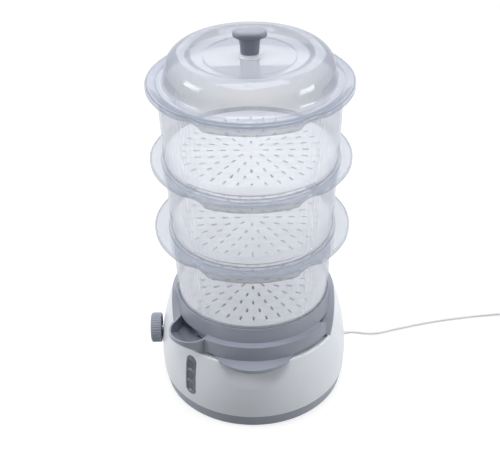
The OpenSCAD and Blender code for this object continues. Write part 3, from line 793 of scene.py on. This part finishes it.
# ---------------------------------------------------------------- mains cord
@dataclass
class MainsCord:
    """White mains lead: out of the gland, over the worktop, into a tied coil and its plug."""

    diameter: float = 6.4
    length: float = 1.258
    lead: tuple[Point, ...] = (
        (137, 50, 17.5), (146, 51.8, 15.4), (156, 54.6, 11.4), (167, 58.4, 7.2), (180, 63, 4.4),
        (200, 70, 3.4), (230, 79, 3.4), (265, 88, 3.4), (300, 95, 3.4), (335, 100, 3.6),
        (362, 102.4, 4), (388, 103, 4.4), (412, 103, 4.4),
    )
    tail: tuple[Point, ...] = (
        (461, 54, 11.4), (461, 46, 12.2), (461.2, 36, 14.4), (461.6, 26, 16.8), (462, 16, 18),
    )
    coil_middle: Point = (418, 60, 4.4)
    coil_r: float = 43.0
    coil_step: float = 8.0
    coil_layer: float = 7.0
    coil_loops: float = 1.875
    climb: float = 0.5
    points_per_turn: int = 28
    plug_at: Point = (462, 16, 18)
    plug_r: float = 18.0
    plug_long: float = 44.0
    plug_sides: int = 72
    flutes: int = 14
    flute_deep: float = 0.35
    flutes_from: float = 16.0
    flutes_to: float = 23.0
    tie_thick: float = 0.9
    tie_wide: float = 7.0
    tie_round: float = 2.4

    def eased(self, points: Sequence[Point], steps: int) -> list[Point]:
        """Smooth path through points.

        Args:
            points: points to pass through.
            steps: pieces between two points.

        Returns:
            The points of the smooth path.
        """
        made: list[Point] = []
        last = len(points) - 1
        for i in range(last):
            a, b, c, d = (Vector(points[max(min(k, last), 0)]) for k in (i - 1, i, i + 1, i + 2))
            for s in range(steps):
                t = s / steps
                bend = (2 * a - 5 * b + 4 * c - d) * t * t
                twist = (3 * b - a - 3 * c + d) * t ** 3
                made.append(tuple(0.5 * (2 * b + (c - a) * t + bend + twist)))
        made.append(tuple(points[last]))
        return made

    def coil_point(self, turn: float) -> Point:
        """Middle line of the coil after some turns: inwards, up half a turn, and out again."""
        angle = math.radians(90 - 360 * turn)
        inner = self.coil_r - self.coil_loops * self.coil_step
        past = turn - self.coil_loops
        if past < 0:
            radius = self.coil_r - self.coil_step * turn
        elif past < self.climb:
            radius = inner
        else:
            radius = inner + self.coil_step * (past - self.climb)
        rise = min(1.0, max(0.0, past / self.climb))
        x, y, z = self.coil_middle
        across, along = radius * math.cos(angle), radius * math.sin(angle)
        return (x + across, y + along, z + self.coil_layer * rise)

    def route(self) -> list[Point]:
        """Whole middle line from the gland to the plug."""
        turns = 2 * self.coil_loops + self.climb
        count = math.ceil(turns * self.points_per_turn)
        coil = [self.coil_point(turns * i / count) for i in range(count + 1)]
        return self.eased(self.lead, 2) + coil + self.eased(self.tail, 3)

    def build(self, paint: Palette) -> Object:
        """Args:
            paint: the finishes.

        Returns:
            The cord.
        """
        route = self.route()
        pipe = piped("mains_lead", route, self.diameter / 2)
        cord = dress(pipe, paint.cord, Body.BASE)
        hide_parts("mains_cord", "cord_coil")
        plug = self.plug(paint)
        tie = self.tie(paint)
        run = sum((Vector(b) - Vector(a)).length for a, b in zip(route, route[1:])) * MM
        log.info("cord is %.3f m long", run)
        return cord

    def plug(self, paint: Palette) -> Object:
        """Makes the plug: a strain relief, a waisted grip and a round face."""
        r, long = self.plug_r, self.plug_long
        profile = [
            (3.4, 0), (4.2, 0), (4.6, 1), (5.0, 6), (5.8, 12), (8.6, 14.4), (11.6, 15.6),
            (12.8, 17), (13.0, 20), (13.2, 22.6), (15.4, 24.4), (17.2, 25.8), (r, 27.6),
            (r, long - 1.6), (r - 0.5, long - 0.5), (r - 1.6, long),
        ]
        x0, y0, z0 = self.plug_at
        rings = []
        for rad, along in profile:
            ring = []
            fluted = self.flutes_from < along < self.flutes_to
            for k in range(self.plug_sides):
                a = 2 * math.pi * k / self.plug_sides
                flute = self.flute_deep * max(0.0, math.cos(self.flutes * a)) if fluted else 0.0
                out = rad - flute
                ring.append((x0 + out * math.cos(a), y0 - along, z0 + out * math.sin(a)))
            rings.append(ring)
        plug = dress(lofted("mains_plug", rings), paint.cord, Body.BASE)
        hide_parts("plug_body")
        return plug

    def tie(self, paint: Palette) -> Object:
        """Makes the flat band round the coil's left side."""
        cord_r = self.diameter / 2
        inner = self.coil_r - self.coil_loops * self.coil_step - cord_r - 1
        outer = self.coil_r + cord_r - 2
        thick, side = self.tie_thick, self.tie_wide / 2
        high = self.coil_middle[2] + self.coil_layer + cord_r + 1
        x0, y0, _ = self.coil_middle
        mid_x, mid_z = x0 - (inner + outer) / 2, high / 2
        half_x, half_z = (outer - inner) / 2 + thick, high / 2

        def loop(shrink: float) -> list[tuple[float, float]]:
            """Rounded box outline, made smaller by shrink."""
            hx, hz, rad = half_x - shrink, half_z - shrink, max(0.4, self.tie_round - shrink)
            made = []
            for quarter, (sx, sz) in enumerate(((1, 1), (-1, 1), (-1, -1), (1, -1))):
                for step in range(6):
                    a = math.radians(90 * quarter + 18 * step)
                    x, z = mid_x + sx * (hx - rad), mid_z + sz * (hz - rad)
                    made.append((x + rad * math.cos(a), z + rad * math.sin(a)))
            return made

        across = ((thick, -side), (0.15, -side), (0.0, -side + 0.2))
        across += ((0.0, side - 0.2), (0.15, side), (thick, side))
        sections = [(loop(shrink), place) for shrink, place in across]
        points = [(x, y0 + dy, z) for outline, dy in sections for x, z in outline]
        n = len(sections[0][0])
        starts = [*range(0, len(points), n), 0]
        faces = bands(starts, n)
        band = smooth(solid_from("coil_tie", points, faces))
        tie = dress(band, paint.tie, Body.BASE)
        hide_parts("cord_tie")
        return tie


# ---------------------------------------------------------------- base
@dataclass
class BaseShell:
    """White shell of the base: a rounded barrel with a low front rim and a finger scoop."""

    widest: float = 124.0
    widest_z: float = 40.0
    curve_r: float = 283.0
    wall: float = 3.0
    low_z: float = 20.0
    rim_z: float = 103.4
    rise: float = 34.6
    turn_y: float = 63.0
    scoop_r: float = 72.0
    scoop_y: float = 109.0
    scoop_z: float = 112.0
    scoop_soft: float = 3.0
    shelf_r: float = 102.6
    shelf_z: tuple[float, float] = (98.9, 101.6)
    spout_middle: tuple[float, float] = (-80.5, -73.0)
    spout_r: float = 28.5
    bores: tuple[tuple[Point, Point, float], ...] = (  # timer shaft, cord gland
        ((-130, 0, 71), (-100, 0, 71), 4.5), ((100, 43.55, 19.8), (140, 50.5, 17.3), 5.6),
    )
    steps: int = 480
    levels: int = 44

    def side(self, z: float) -> float:
        """Radius of the barrel at a height."""
        if z < self.widest_z:
            return self.widest - (self.widest_z - z) / 20.0
        return self.widest - self.curve_r + math.sqrt(self.curve_r ** 2 - (z - self.widest_z) ** 2)

    def outside(self, angle: float, z: float) -> float:
        """Radius of the outer face, with the scoop pressed in."""
        plain = self.side(z)
        front = math.cos(math.radians(angle))
        depth = self.scoop_r ** 2 - (z - self.scoop_z) ** 2
        if front < 0.3 or depth <= 0:
            return plain
        hollow = (self.scoop_y + self.scoop_r - math.sqrt(depth)) / front
        return soft_min(plain, hollow, self.scoop_soft)

    def rim(self, radius: float, angle: float) -> float:
        """Height of the rim at a place on the wall."""
        x, y, _ = polar(radius, angle, 0)
        if math.hypot(x - self.spout_middle[0], y - self.spout_middle[1]) < self.spout_r:
            return self.rim_z
        share = min(1.0, max(0.0, (y + self.turn_y) / self.turn_y))
        return self.rim_z + self.rise * math.sin(math.pi / 2 * share)

    def section(self, angle: float) -> Section:
        """Outline of the wall at an angle."""
        top_out = self.rim(self.outside(angle, 115.0), angle)
        top_in = self.rim(self.outside(angle, 115.0) - self.wall, angle)
        low = self.low_z
        made = [(self.outside(angle, low) - 0.4, low)]
        for k in range(self.levels + 1):
            z = low + 0.4 + (top_out - 0.7 - low - 0.4) * k / self.levels
            made.append((self.outside(angle, z), z))
        r_out = self.outside(angle, top_out)
        made += [(r_out - 0.22, top_out - 0.22), (r_out - 0.7, top_out)]
        r_in = r_out - self.wall
        made += [(r_in + 0.7, top_in), (r_in + 0.2, top_in - 0.2), (r_in, top_in - 0.7)]
        shelf_low, shelf_top = self.shelf_z
        made.append((self.outside(angle, shelf_top) - self.wall, shelf_top))
        shelf = self.shelf_r
        made += [(shelf + 0.3, shelf_top), (shelf, shelf_top - 0.3), (shelf, shelf_low)]
        for k in range(9):
            z = shelf_low + (low - shelf_low) * k / 8
            made.append((self.outside(angle, z) - self.wall, z))
        return made

    def build(self, paint: Palette) -> Object:
        """Makes the shell with its gauge, timer and cord openings.

        Args:
            paint: the finishes.

        Returns:
            The shell.
        """
        shell = turned("shell_body", self.section, self.steps)
        openings = [piped("bore_tool", [start, end], r, 32) for start, end, r in self.bores]
        cut_from(shell, [LevelGauge().cutter(), *openings])
        smooth(shell)
        dress(shell, paint.shell, Body.BASE)
        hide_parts("base_shell")
        LevelGauge().build(paint, self)
        return shell


@dataclass
class LevelGauge:
    """Upright pill with three windows, left of the front."""

    wide: float = 17.0
    high: float = 60.0
    middle_z: float = 65.0
    angle: float = 42.0
    gap: float = 0.3
    proud: float = 0.7
    deep: float = 0.4
    thick: float = 4.4
    window: tuple[float, float] = (11.2, 13.4)
    window_round: float = 2.6
    window_step: float = 16.8
    rows: int = 132
    columns: int = 36

    def cutter(self) -> Object:
        """Makes the tool that opens the shell for the gauge."""
        half, reach = (self.high - self.wide) / 2, self.wide / 2 + self.gap
        rings = []
        for depth in (95.0, 140.0):
            ring = []
            for k in range(48):
                a = 2 * math.pi * k / 48
                side, up = reach * math.cos(a), reach * math.sin(a)
                shift = half if up >= 0 else -half
                ring.append(self.placed(depth, side, self.middle_z + up + shift))
            rings.append(ring)
        return lofted("gauge_tool", rings)

    def build(self, paint: Palette, shell: "BaseShell") -> Object:
        """Makes the gauge's curved face: a smooth frame that stands proud, with three sunk windows.

        Args:
            paint: the finishes.
            shell: the shell that the gauge follows.

        Returns:
            The gauge.
        """
        rows, columns = self.rows, self.columns
        half = self.high / 2
        front: list[Point] = []
        back: list[Point] = []
        for i in range(rows + 1):
            up = -half * math.cos(math.pi * i / rows)
            reach = self.reach(up)
            for k in range(columns + 1):
                side = -reach * math.cos(math.pi * k / columns)
                z = self.middle_z + up
                radius = shell.side(z)
                outer = radius + self.relief(side, up)
                for points, r in ((front, outer), (back, radius - self.thick)):
                    points.append(self.placed(math.sqrt(r ** 2 - side ** 2), side, z))
        wide, count = columns + 1, len(front)
        faces = []
        for i in range(rows):
            for k in range(columns):
                a = i * wide + k
                b = count + a
                faces.append((a, a + 1, a + wide + 1, a + wide))
                faces.append((b, b + wide, b + wide + 1, b + 1))
        edge = [*range(wide)] + [i * wide + columns for i in range(1, rows + 1)]
        edge += [rows * wide + k for k in range(columns - 1, -1, -1)]
        edge += [i * wide for i in range(rows - 1, 0, -1)]
        faces += [(a, b, count + b, count + a) for a, b in zip(edge, edge[1:] + edge[:1])]
        pill = smooth(solid_from("level_gauge", front + back, faces), 50.0)
        gauge = dress(pill, paint.gauge, Body.BASE)
        gauge.data.materials.append(paint.window)
        turn = math.radians(self.angle)
        for face in gauge.data.polygons:
            x, y, z = (c / MM for c in face.center)
            side = -x * math.cos(turn) + y * math.sin(turn)
            in_front = math.hypot(x, y) > shell.side(z) - self.thick + 0.5
            if in_front and self.sunk(side, z - self.middle_z) > 0.6:
                face.material_index = 1
        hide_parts("gauge_bezel", "gauge_lens")
        return gauge

    def reach(self, up: float) -> float:
        """Half of the pill's width at a height from its middle."""
        over = max(0.0, abs(up) - (self.high - self.wide) / 2)
        return math.sqrt(max(0.0, (self.wide / 2) ** 2 - over ** 2))

    def sunk(self, side: float, up: float) -> float:
        """Share from 0 to 1 by which a place lies in one of the windows."""
        step = self.window_step
        nearest = min((-step, 0.0, step), key=lambda middle: abs(up - middle))
        across = abs(side) - self.window[0] / 2 + self.window_round
        along = abs(up - nearest) - self.window[1] / 2 + self.window_round
        gap = math.hypot(max(across, 0.0), max(along, 0.0))
        gap += min(max(across, along), 0.0) - self.window_round
        return min(1.0, max(0.0, 0.5 - gap / 0.7))

    def relief(self, side: float, up: float) -> float:
        """How far the face stands out from the shell at a place."""
        over = max(0.0, abs(up) - (self.high - self.wide) / 2)
        inside = min(1.0, max(0.0, self.wide / 2 - math.hypot(side, over)) / 1.1)
        lip = self.proud * math.sqrt(1 - (1 - inside) ** 2)
        return lip - (self.proud + self.deep) * self.sunk(side, up)

    def placed(self, depth: float, side: float, z: float) -> Point:
        """Point out from the axis by depth and sideways by side, at the gauge's angle."""
        a = math.radians(self.angle)
        out = Vector((-math.sin(a), -math.cos(a), 0))
        along = Vector((-math.cos(a), math.sin(a), 0))
        place = depth * out + side * along
        return (place.x, place.y, z)


@dataclass
class TimerDial:
    """Round timer knob with fine grip ribs, on the left of the base."""

    radius: float = 20.0
    deep: float = 14.2
    rib: float = 0.9
    ribs: int = 36
    back_x: float = -124.286
    height: float = 71.0
    bore_r: float = 3.0
    steps: int = 288

    def section(self, angle: float) -> Section:
        """Outline of the knob at an angle: distance from the axis, and depth from the back."""
        wave = 0.5 + 0.5 * math.cos(math.radians(angle * self.ribs))
        body = self.radius - self.rib
        ribbed = body + self.rib * min(1.0, wave * 1.5)
        deep = self.deep
        return [
            (self.bore_r, 0.2), (self.bore_r + 2.5, 0.2), (self.bore_r + 2.5, deep - 5),
            (self.radius - 3, deep - 5), (self.radius - 3, 0.0), (body, 0.0), (body + 0.1, 0.6),
            (ribbed, 1.1), (ribbed, deep - 2.0), (body + 0.1, deep - 1.4), (body - 0.5, deep - 0.6),
            (body - 1.4, deep - 0.15), (body - 2.4, deep),
            (self.radius - 4.6, deep), (self.radius - 5.0, deep - 0.3),
            (self.radius - 5.3, deep - 0.8), (4.0, deep - 0.8), (0.0, deep - 0.8),
            (0.0, deep - 4), (self.bore_r, deep - 4),
        ]

    def build(self, paint: Palette) -> None:
        """Makes the knob and its pointer.

        Args:
            paint: the finishes.
        """
        knob = turned("timer_grip", self.section, self.steps)
        knob.data.transform(self.facing())
        dress(knob, paint.dial, Body.DIAL)
        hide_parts("timer_knob")
        sizes = ((1.1, 7.0, 14.0, 0.85), (1.1, 7.0, 14.0, 0.35), (0.8, 7.3, 13.7, 0.1))
        bars = [self.bar(*size, self.deep - sunk) for *size, sunk in sizes]
        pointer = lofted("timer_pointer", bars)
        pointer.data.transform(self.facing())
        dress(pointer, paint.mark, Body.DIAL)

    def bar(self, half: float, inner: float, outer: float, z: float) -> list[Point]:
        """Outline of the pointer bar at a depth, with round ends."""
        made = []
        for end, start in ((outer - half, -90), (inner + half, 90)):
            for k in range(9):
                a = math.radians(start + 22.5 * k)
                made.append((half * math.sin(a), end + half * math.cos(a), z))
        return made

    def facing(self) -> Matrix:
        """Turns a knob made upright so that it faces left at its place."""
        turn = Matrix(((0, 0, -1), (1, 0, 0), (0, -1, 0))).to_4x4()
        return Matrix.Translation(Vector((self.back_x, 0, self.height)) * MM) @ turn


# ---------------------------------------------------------------- baskets
@dataclass
class RimOutline:
    """Outline of a rim: a circle with four shallow notches that set off front and back grips."""

    radius: float = 122.5
    notch_r: float = 40.0
    notch_depth: float = 3.5
    notch_angle: float = 35.0

    def at(self, angle: float, inset: float = 0.0) -> float:
        """Rim radius at an angle, drawn in by inset."""
        reach = self.radius + self.notch_r - self.notch_depth
        full = self.radius
        notch = self.notch_angle
        for centre in (notch, -notch, 180 - notch, 180 + notch):
            off = math.radians((angle - centre + 180) % 360 - 180)
            inside = self.notch_r ** 2 - (reach * math.sin(off)) ** 2
            if abs(off) < 0.6 and inside > 0:
                full = soft_min(full, reach * math.cos(off) - math.sqrt(inside), 0.7)
        return full - inset


@dataclass
class SteamBasket:
    """One clear basket: a tapered wall, a slotted floor and a wide rim that carries the next."""

    tier: int
    body: Body
    height: float = 98.6
    foot_r: float = 98.0
    tier_step: float = 4.0
    draft: float = 3.8
    wall: float = 2.2
    rim_t: float = 2.4
    nest: float = 1.2
    seat_z: float = 144.8
    floor_z: float = 3.0
    floor_t: float = 2.2
    foot_gap: float = 0.6
    edge_w: float = 1.8
    edge_drop: float = 4.2
    edge_rise: float = 0.8
    grip_drop: float = 9.0
    grip_angle: float = 27.0
    chord: float = 114.0
    ribs: int = 96
    rib_h: float = 0.16
    steps: int = 384
    slot_w: float = 2.6
    slot_l: float = 8.0
    ring_r: int = 18
    ring_step: int = 16
    ring_slots: int = 8
    ring_more: int = 6
    floor_edge: float = 0.3
    floor_sides: int = 192
    rim: RimOutline = field(default_factory=RimOutline)

    def foot(self) -> float:
        """Radius of this tier's foot."""
        return self.foot_r + self.tier * self.tier_step

    def low(self) -> float:
        """Height of this tier's foot."""
        return self.seat_z + self.tier * (self.height - self.nest)

    def grip(self, angle: float) -> float:
        """How far the rim's edge hangs down at an angle: more at the front and back grips."""
        off = abs((angle + 90) % 180 - 90)
        share = min(1.0, max(0.0, (self.grip_angle + 1.5 - off) / 3.0))
        share = share * share * (3 - 2 * share)
        return self.edge_drop + (self.grip_drop - self.edge_drop) * share

    def section(self, angle: float) -> Section:
        """Outline of wall and rim at an angle."""
        foot, h = self.foot(), self.height
        top, seat = foot + self.draft, foot + self.tier_step + self.foot_gap
        ledge, flat = h - self.nest, h - self.rim_t
        under = h - self.nest - self.rim_t
        rib = self.rib_h * math.cos(math.radians(angle * self.ribs))
        inner = foot - self.wall
        edge = self.rim.at(angle)
        bead = edge - self.edge_w
        hang, lip = h - self.grip(angle), h + self.edge_rise
        front = abs(math.cos(math.radians(angle)))
        line = min(edge - 3.2, max(seat + 3.6, self.chord / max(front, 0.05)))
        step = 0.9 * min(1.0, max(0.0, (edge - 3.2 - line) / 2.0))
        made: Section = [(inner + 0.3, 0.0), (foot - 0.5, 0.0), (foot - 0.1, 0.5)]
        for share in (0.04, 0.2, 0.4, 0.6, 0.8, 0.93, 1.0):
            ribbed = rib if 0.03 < share < 0.95 else 0.0
            rise = (under - 5) * share + 0.5 * (1 - share)
            made.append((foot + (self.draft - 0.6) * share + ribbed, rise))
        made += [
            (top + 0.1, under - 3), (top + 0.9, under - 1.1), (top + 2.2, under - 0.2),
            (top + 3.4, under), (seat + 1.4, under), (seat + 2.4, under + 0.5), (seat + 3.0, flat),
            (line - 0.5, flat), (line + 0.5, flat - step * 0.6), (bead - 0.6, flat - step * 0.6),
            (bead, flat - 0.8), (bead + 0.1, hang + 0.5), (bead + 0.5, hang),
            (edge - 0.5, hang), (edge - 0.1, hang + 0.5), (edge, hang + 1.0), (edge, lip - 0.6),
            (edge - 0.25, lip - 0.15), (edge - 0.7, lip), (bead + 0.5, lip),
            (bead + 0.1, lip - 0.3), (bead - 0.1, h - step + 0.2), (bead - 0.6, h - step),
            (line + 0.4, h - step), (line - 0.4, h), (seat + 1.0, h), (seat + 0.25, h - 0.1),
            (seat, h - 0.45), (seat, ledge + 0.2), (seat - 0.2, ledge),
            (top - self.wall + 0.4, ledge), (top - self.wall, ledge - 0.4),
        ]
        for share in (1.0, 0.8, 0.6, 0.4, 0.2, 0.08):
            wall = inner + (self.draft - 0.5) * share - rib * 0.8
            made.append((wall, 5.2 + (under - 9.2) * share))
        made.append((inner, 5.0))
        return made

    def build(self, paint: Palette) -> None:
        """Makes the basket's wall and floor.

        Args:
            paint: the finishes.
        """
        name = f"steam_basket_{self.tier + 1}"
        shell = turned(name, self.section, self.steps, (0, 0, self.low()))
        dress(shell, paint.clear, self.body)
        edged(shell, paint.clear_edge, self.in_edge)
        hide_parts(f"basket_{self.tier + 1}")
        floor = self.slotted_floor()
        dress(floor, paint.clear_floor, self.body)

    def in_edge(self, radius: float, z: float) -> bool:
        """Tells whether a place lies in the rim with its seat, or at the foot."""
        seat = self.foot() + self.tier_step + self.foot_gap
        top = self.low() + self.height
        rim = z > top - self.edge_drop - 0.6 and radius > seat - 4.5
        grip = top - self.grip_drop - 1 < z < top - self.grip_drop + 0.8
        return rim or grip or z < self.low() + 0.8

    def slotted_floor(self) -> Object:
        """Makes the floor plate with rings of steam slots, filled from flat outlines."""
        name = f"basket_floor_{self.tier + 1}"
        data = bpy.data.curves.new(name, "CURVE")
        data.dimensions, data.fill_mode = "2D", "BOTH"
        edge = self.floor_edge
        data.extrude = (self.floor_t / 2 - edge) * MM
        data.bevel_depth, data.bevel_resolution, data.offset = edge * MM, 1, -edge * MM
        rim = self.foot() - self.wall + 0.4
        turns = [2 * math.pi * k / self.floor_sides for k in range(self.floor_sides)]
        self.outline(data, [(rim * math.cos(a), rim * math.sin(a)) for a in turns])
        last = self.foot() - self.wall - 3
        ring = 0
        while self.ring_r + self.ring_step * ring + self.slot_l / 2 <= last:
            radius = self.ring_r + self.ring_step * ring
            count = self.ring_slots + self.ring_more * ring
            for i in range(count):
                self.outline(data, self.slot(radius, 2 * math.pi * i / count))
            ring += 1
        curve = bpy.data.objects.new(name, data)
        bpy.context.scene.collection.objects.link(curve)
        graph = bpy.context.evaluated_depsgraph_get()
        mesh = bpy.data.meshes.new_from_object(curve.evaluated_get(graph))
        bpy.data.objects.remove(curve)
        middle = self.low() + self.floor_z + self.floor_t / 2
        mesh.transform(Matrix.Translation((0, 0, middle * MM)))
        return smooth(closed(bpy.data.objects.new(name, mesh)))

    def slot(self, radius: float, angle: float) -> list[tuple[float, float]]:
        """Outline of one slot with round ends, lying along the radius."""
        half = self.slot_w / 2
        ends = ((self.slot_l / 2 - half, -90), (-self.slot_l / 2 + half, 90))
        made = []
        for shift, start in ends:
            for k in range(5):
                a = math.radians(start + 45 * k)
                u, v = radius + shift + half * math.cos(a), half * math.sin(a)
                cos, sin = math.cos(angle), math.sin(angle)
                made.append((u * cos - v * sin, u * sin + v * cos))
        return made

    def outline(self, data: Curve, points: list[tuple[float, float]]) -> None:
        """Adds a closed outline in millimetres to a flat curve."""
        spline = data.splines.new("POLY")
        spline.points.add(len(points) - 1)
        for point, (x, y) in zip(spline.points, points):
            point.co = (x * MM, y * MM, 0, 1)
        spline.use_cyclic_u = True


# ---------------------------------------------------------------- lid
@dataclass
class DomeLid:
    """Clear lid: a flat flange, a domed wall, a crown ring and a sunken middle with a knob."""

    low: float = 438.2
    rim_t: float = 2.4
    dome_r: float = 101.0
    crown_r: float = 79.0
    crown_h: float = 35.0
    disc_r: float = 54.0
    disc_drop: float = 8.0
    wall: float = 2.0
    locate_r: float = 110.6
    nest: float = 1.2
    collar_h: float = 3.4
    vent_r: float = 1.3
    vents: tuple[int, ...] = (172, 180, 188)
    steps: int = 384
    rim: RimOutline = field(default_factory=RimOutline)

    def disc_z(self) -> float:
        """Height of the sunken disc."""
        return self.low + self.rim_t + self.crown_h - self.disc_drop

    def section(self, angle: float) -> Section:
        """Outline of the lid at an angle."""
        low, z = self.low, self.low + self.rim_t
        edge = self.rim.at(angle, 2.1)
        crown, peak, bend = self.crown_r, z + self.crown_h, self.dome_r - self.crown_r
        dome, inner = self.dome_r, self.dome_r - self.wall
        locate, ledge, disc_r = self.locate_r, low - self.nest, self.disc_r
        centre, disc, below = peak - bend, self.disc_z(), peak - self.wall
        arc = [math.radians(90 - 6 * k) for k in range(1, 16)]
        made: Section = [
            (0, disc), (disc_r - 1.2, disc), (disc_r - 0.3, disc + 0.25),
            (disc_r + 0.4, disc + 0.9), (disc_r + 2, disc + 1.2), (disc_r + 10, disc + 1.5),
            (disc_r + 13.4, disc + 1.9),
            (disc_r + 15.4, disc + 3.2), (crown - 7.2, peak - 2.6), (crown - 5.2, peak - 1.1),
            (crown - 3.0, peak - 0.3), (crown, peak),
        ]
        made += [(crown + (bend - 2) * math.cos(a), centre + bend * math.sin(a)) for a in arc]
        made += [
            (dome - 1.6, centre - 4), (dome - 0.9, z + 4), (dome - 0.2, z + 1.6),
            (dome + 1.2, z + 0.3), (dome + 3, z), (locate - 0.8, z), (locate, z - 0.35),
            (locate + 0.8, z), (edge - 2.6, z), (edge - 2.1, z + 0.35), (edge - 0.6, z + 0.35),
            (edge - 0.1, z), (edge, z - 0.5), (edge, low + 0.5), (edge - 0.4, low),
            (locate - 0.8, low), (locate - 0.9, ledge + 0.3), (locate - 1.2, ledge),
            (locate - 3.2, ledge), (locate - 3.5, ledge + 0.3), (locate - 3.7, low),
            (inner + 0.6, low), (inner - 0.1, low + 0.8), (dome - 2.8 - 0.8, z + 4),
            (inner - 1.7, centre - 4),
        ]
        hollow = bend - self.wall
        made += [
            (crown + (bend - 4) * math.cos(a), centre + hollow * math.sin(a)) for a in reversed(arc)
        ]
        made += [
            (crown, below), (crown - 3.4, below - 0.5), (crown - 6.0, below - 1.9),
            (disc_r + 16.0, disc + 1.6), (disc_r + 13.8, disc - 0.1), (disc_r + 10, disc - 0.5),
            (disc_r + 1.5, disc - 0.9), (disc_r - 1.0, disc - self.wall), (0, disc - self.wall),
        ]
        return made

    def build(self, paint: Palette) -> None:
        """Makes the lid with its vents, its clear collar and its knob.

        Args:
            paint: the finishes.
        """
        lid = turned("dome_lid", self.section, self.steps)
        tools = []
        for angle in self.vents:
            ends = [polar(self.crown_r - 6.4, angle, height) for height in (455, 485)]
            tools.append(piped("vent_tool", ends, self.vent_r, 20))
        cut_from(lid, tools)
        smooth(lid)
        dress(lid, paint.lid_clear, Body.LID)
        edged(lid, paint.clear_edge, lambda radius, z: radius > self.dome_r + 2.5)
        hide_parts("lid")
        self.collar(paint)
        LidKnob(low=self.disc_z() + self.collar_h).build(paint)

    def collar(self, paint: Palette) -> None:
        """Makes the clear ring between lid and knob; its near-white colour is a painted highlight.
        """
        z, high = self.disc_z(), self.collar_h
        outline = [
            (2.3, z + 0.02), (12.8, z + 0.02), (13.2, z + 0.5), (12.6, z + 1.6),
            (11.9, z + 2.6), (11.4, z + 3.2), (11.0, z + high), (2.3, z + high),
        ]
        ring = turned("knob_base_ring", lambda angle: outline, 96)
        dress(ring, paint.collar, Body.LID)
        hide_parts("knob_collar")


@dataclass
class LidKnob:
    """Light grey handle: a waisted stem under a long rounded cap."""

    low: float
    cap_l: float = 39.4
    cap_w: float = 22.0
    high: float = 28.0
    cap_h: float = 7.5
    points: int = 64

    def ring(self, length: float, width: float, z: float) -> list[Point]:
        """Outline with round ends, of a length and width, at a height above the collar."""
        made = []
        straight = (length - width) / 2
        for k in range(self.points):
            a = 2 * math.pi * (k + 0.5) / self.points
            x, y = width / 2 * math.cos(a), width / 2 * math.sin(a)
            made.append((x + (straight if x >= 0 else -straight), y, self.low + z))
        return made

    def build(self, paint: Palette) -> None:
        """Makes the knob.

        Args:
            paint: the finishes.
        """
        cap, long, wide = self.high - self.cap_h, self.cap_l, self.cap_w
        rows = [
            (20.8, 14.4, 0.0), (21.6, 15.0, 0.5), (21.7, 15.0, 3), (22.2, 15.2, 7),
            (23.1, 15.7, 11), (24.2, 16.3, 15), (25.4, 16.9, 18), (26.6, 17.4, cap - 0.9),
            (28.6, 18.4, cap - 0.15), (31.6, 19.4, cap + 0.05),
            (long - 2.4, wide - 1.8, cap + 0.15),
            (long - 0.8, wide - 0.6, cap + 0.6), (long, wide, cap + 1.6), (long, wide, cap + 3.6),
            (long - 0.5, wide - 0.5, cap + 5.0), (long - 2.0, wide - 1.9, cap + 6.2),
            (long - 4.8, wide - 4.4, cap + 7.0), (long - 9.0, wide - 8.4, cap + 7.35),
            (long - 16.0, wide - 15.0, cap + 7.5),
        ]
        knob = lofted("lid_grip", [self.ring(*row) for row in rows])
        dress(knob, paint.knob, Body.LID)
        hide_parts("lid_knob")


# ---------------------------------------------------------------- carried-over CAD nodes
@dataclass(frozen=True)
class CadDressing:
    """Which finish each CAD node gets."""

    paint: Palette

    def apply(self, nodes: dict[str, Object]) -> None:
        """Dresses the CAD nodes.

        Args:
            nodes: the frame's CAD objects by name.
        """
        paint = self.paint
        groups = (
            (paint.shell, "base_shell"),
            (paint.pan, "bottom_pan"),
            (paint.rubber, "rubber_feet"),
            (paint.steel, "case_screws heater_tube timer_shaft knob_screw"),
            (paint.tank, "water_tank steam_sleeve"),
            (paint.seal, "heater_seal"),
            (paint.aluminium, "heating_plate"),
            (paint.inner_dark, "thermostat"),
            (paint.inner_light, "thermal_fuse timer_case terminal_block cord_clamp"),
            (paint.dial, "timer_knob"),
            (paint.gauge, "gauge_bezel"),
            (paint.window, "gauge_lens"),
            (paint.wire, "inner_wires"),
            (paint.cord, "cord_gland mains_cord cord_coil plug_body"),
            (paint.tie, "cord_tie"),
            (paint.pins, "plug_pins"),
            (paint.tray, "drip_tray"),
            (paint.clear, "basket_1 basket_2 basket_3"),
            (paint.lid_clear, "lid"),
            (paint.collar, "knob_collar"),
            (paint.knob, "lid_knob"),
        )
        finish = {name: material for material, names in groups for name in names.split()}
        for name, node in nodes.items():
            for place in node.material_slots:
                place.material = finish[name]
            log.info("%s has its finish", name)


def main() -> None:
    """Builds the steamer and the studio around it."""
    logging.basicConfig(level=logging.INFO, format="%(message)s")
    bpy.context.scene.view_settings.view_transform = "Standard"
    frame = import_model()
    Viewpoint().build()
    paint = Palette.mixed()
    MainsCord().build(paint)
    Studio().build()
    CadDressing(paint).apply(frame["nodes"])
    BaseShell().build(paint)
    TimerDial().build(paint)
    for tier, body in enumerate((Body.TIER_1, Body.TIER_2, Body.TIER_3)):
        SteamBasket(tier, body).build(paint)
    DomeLid().build(paint)
    log.info("steamer ready")


if __name__ == "__main__":
    main()
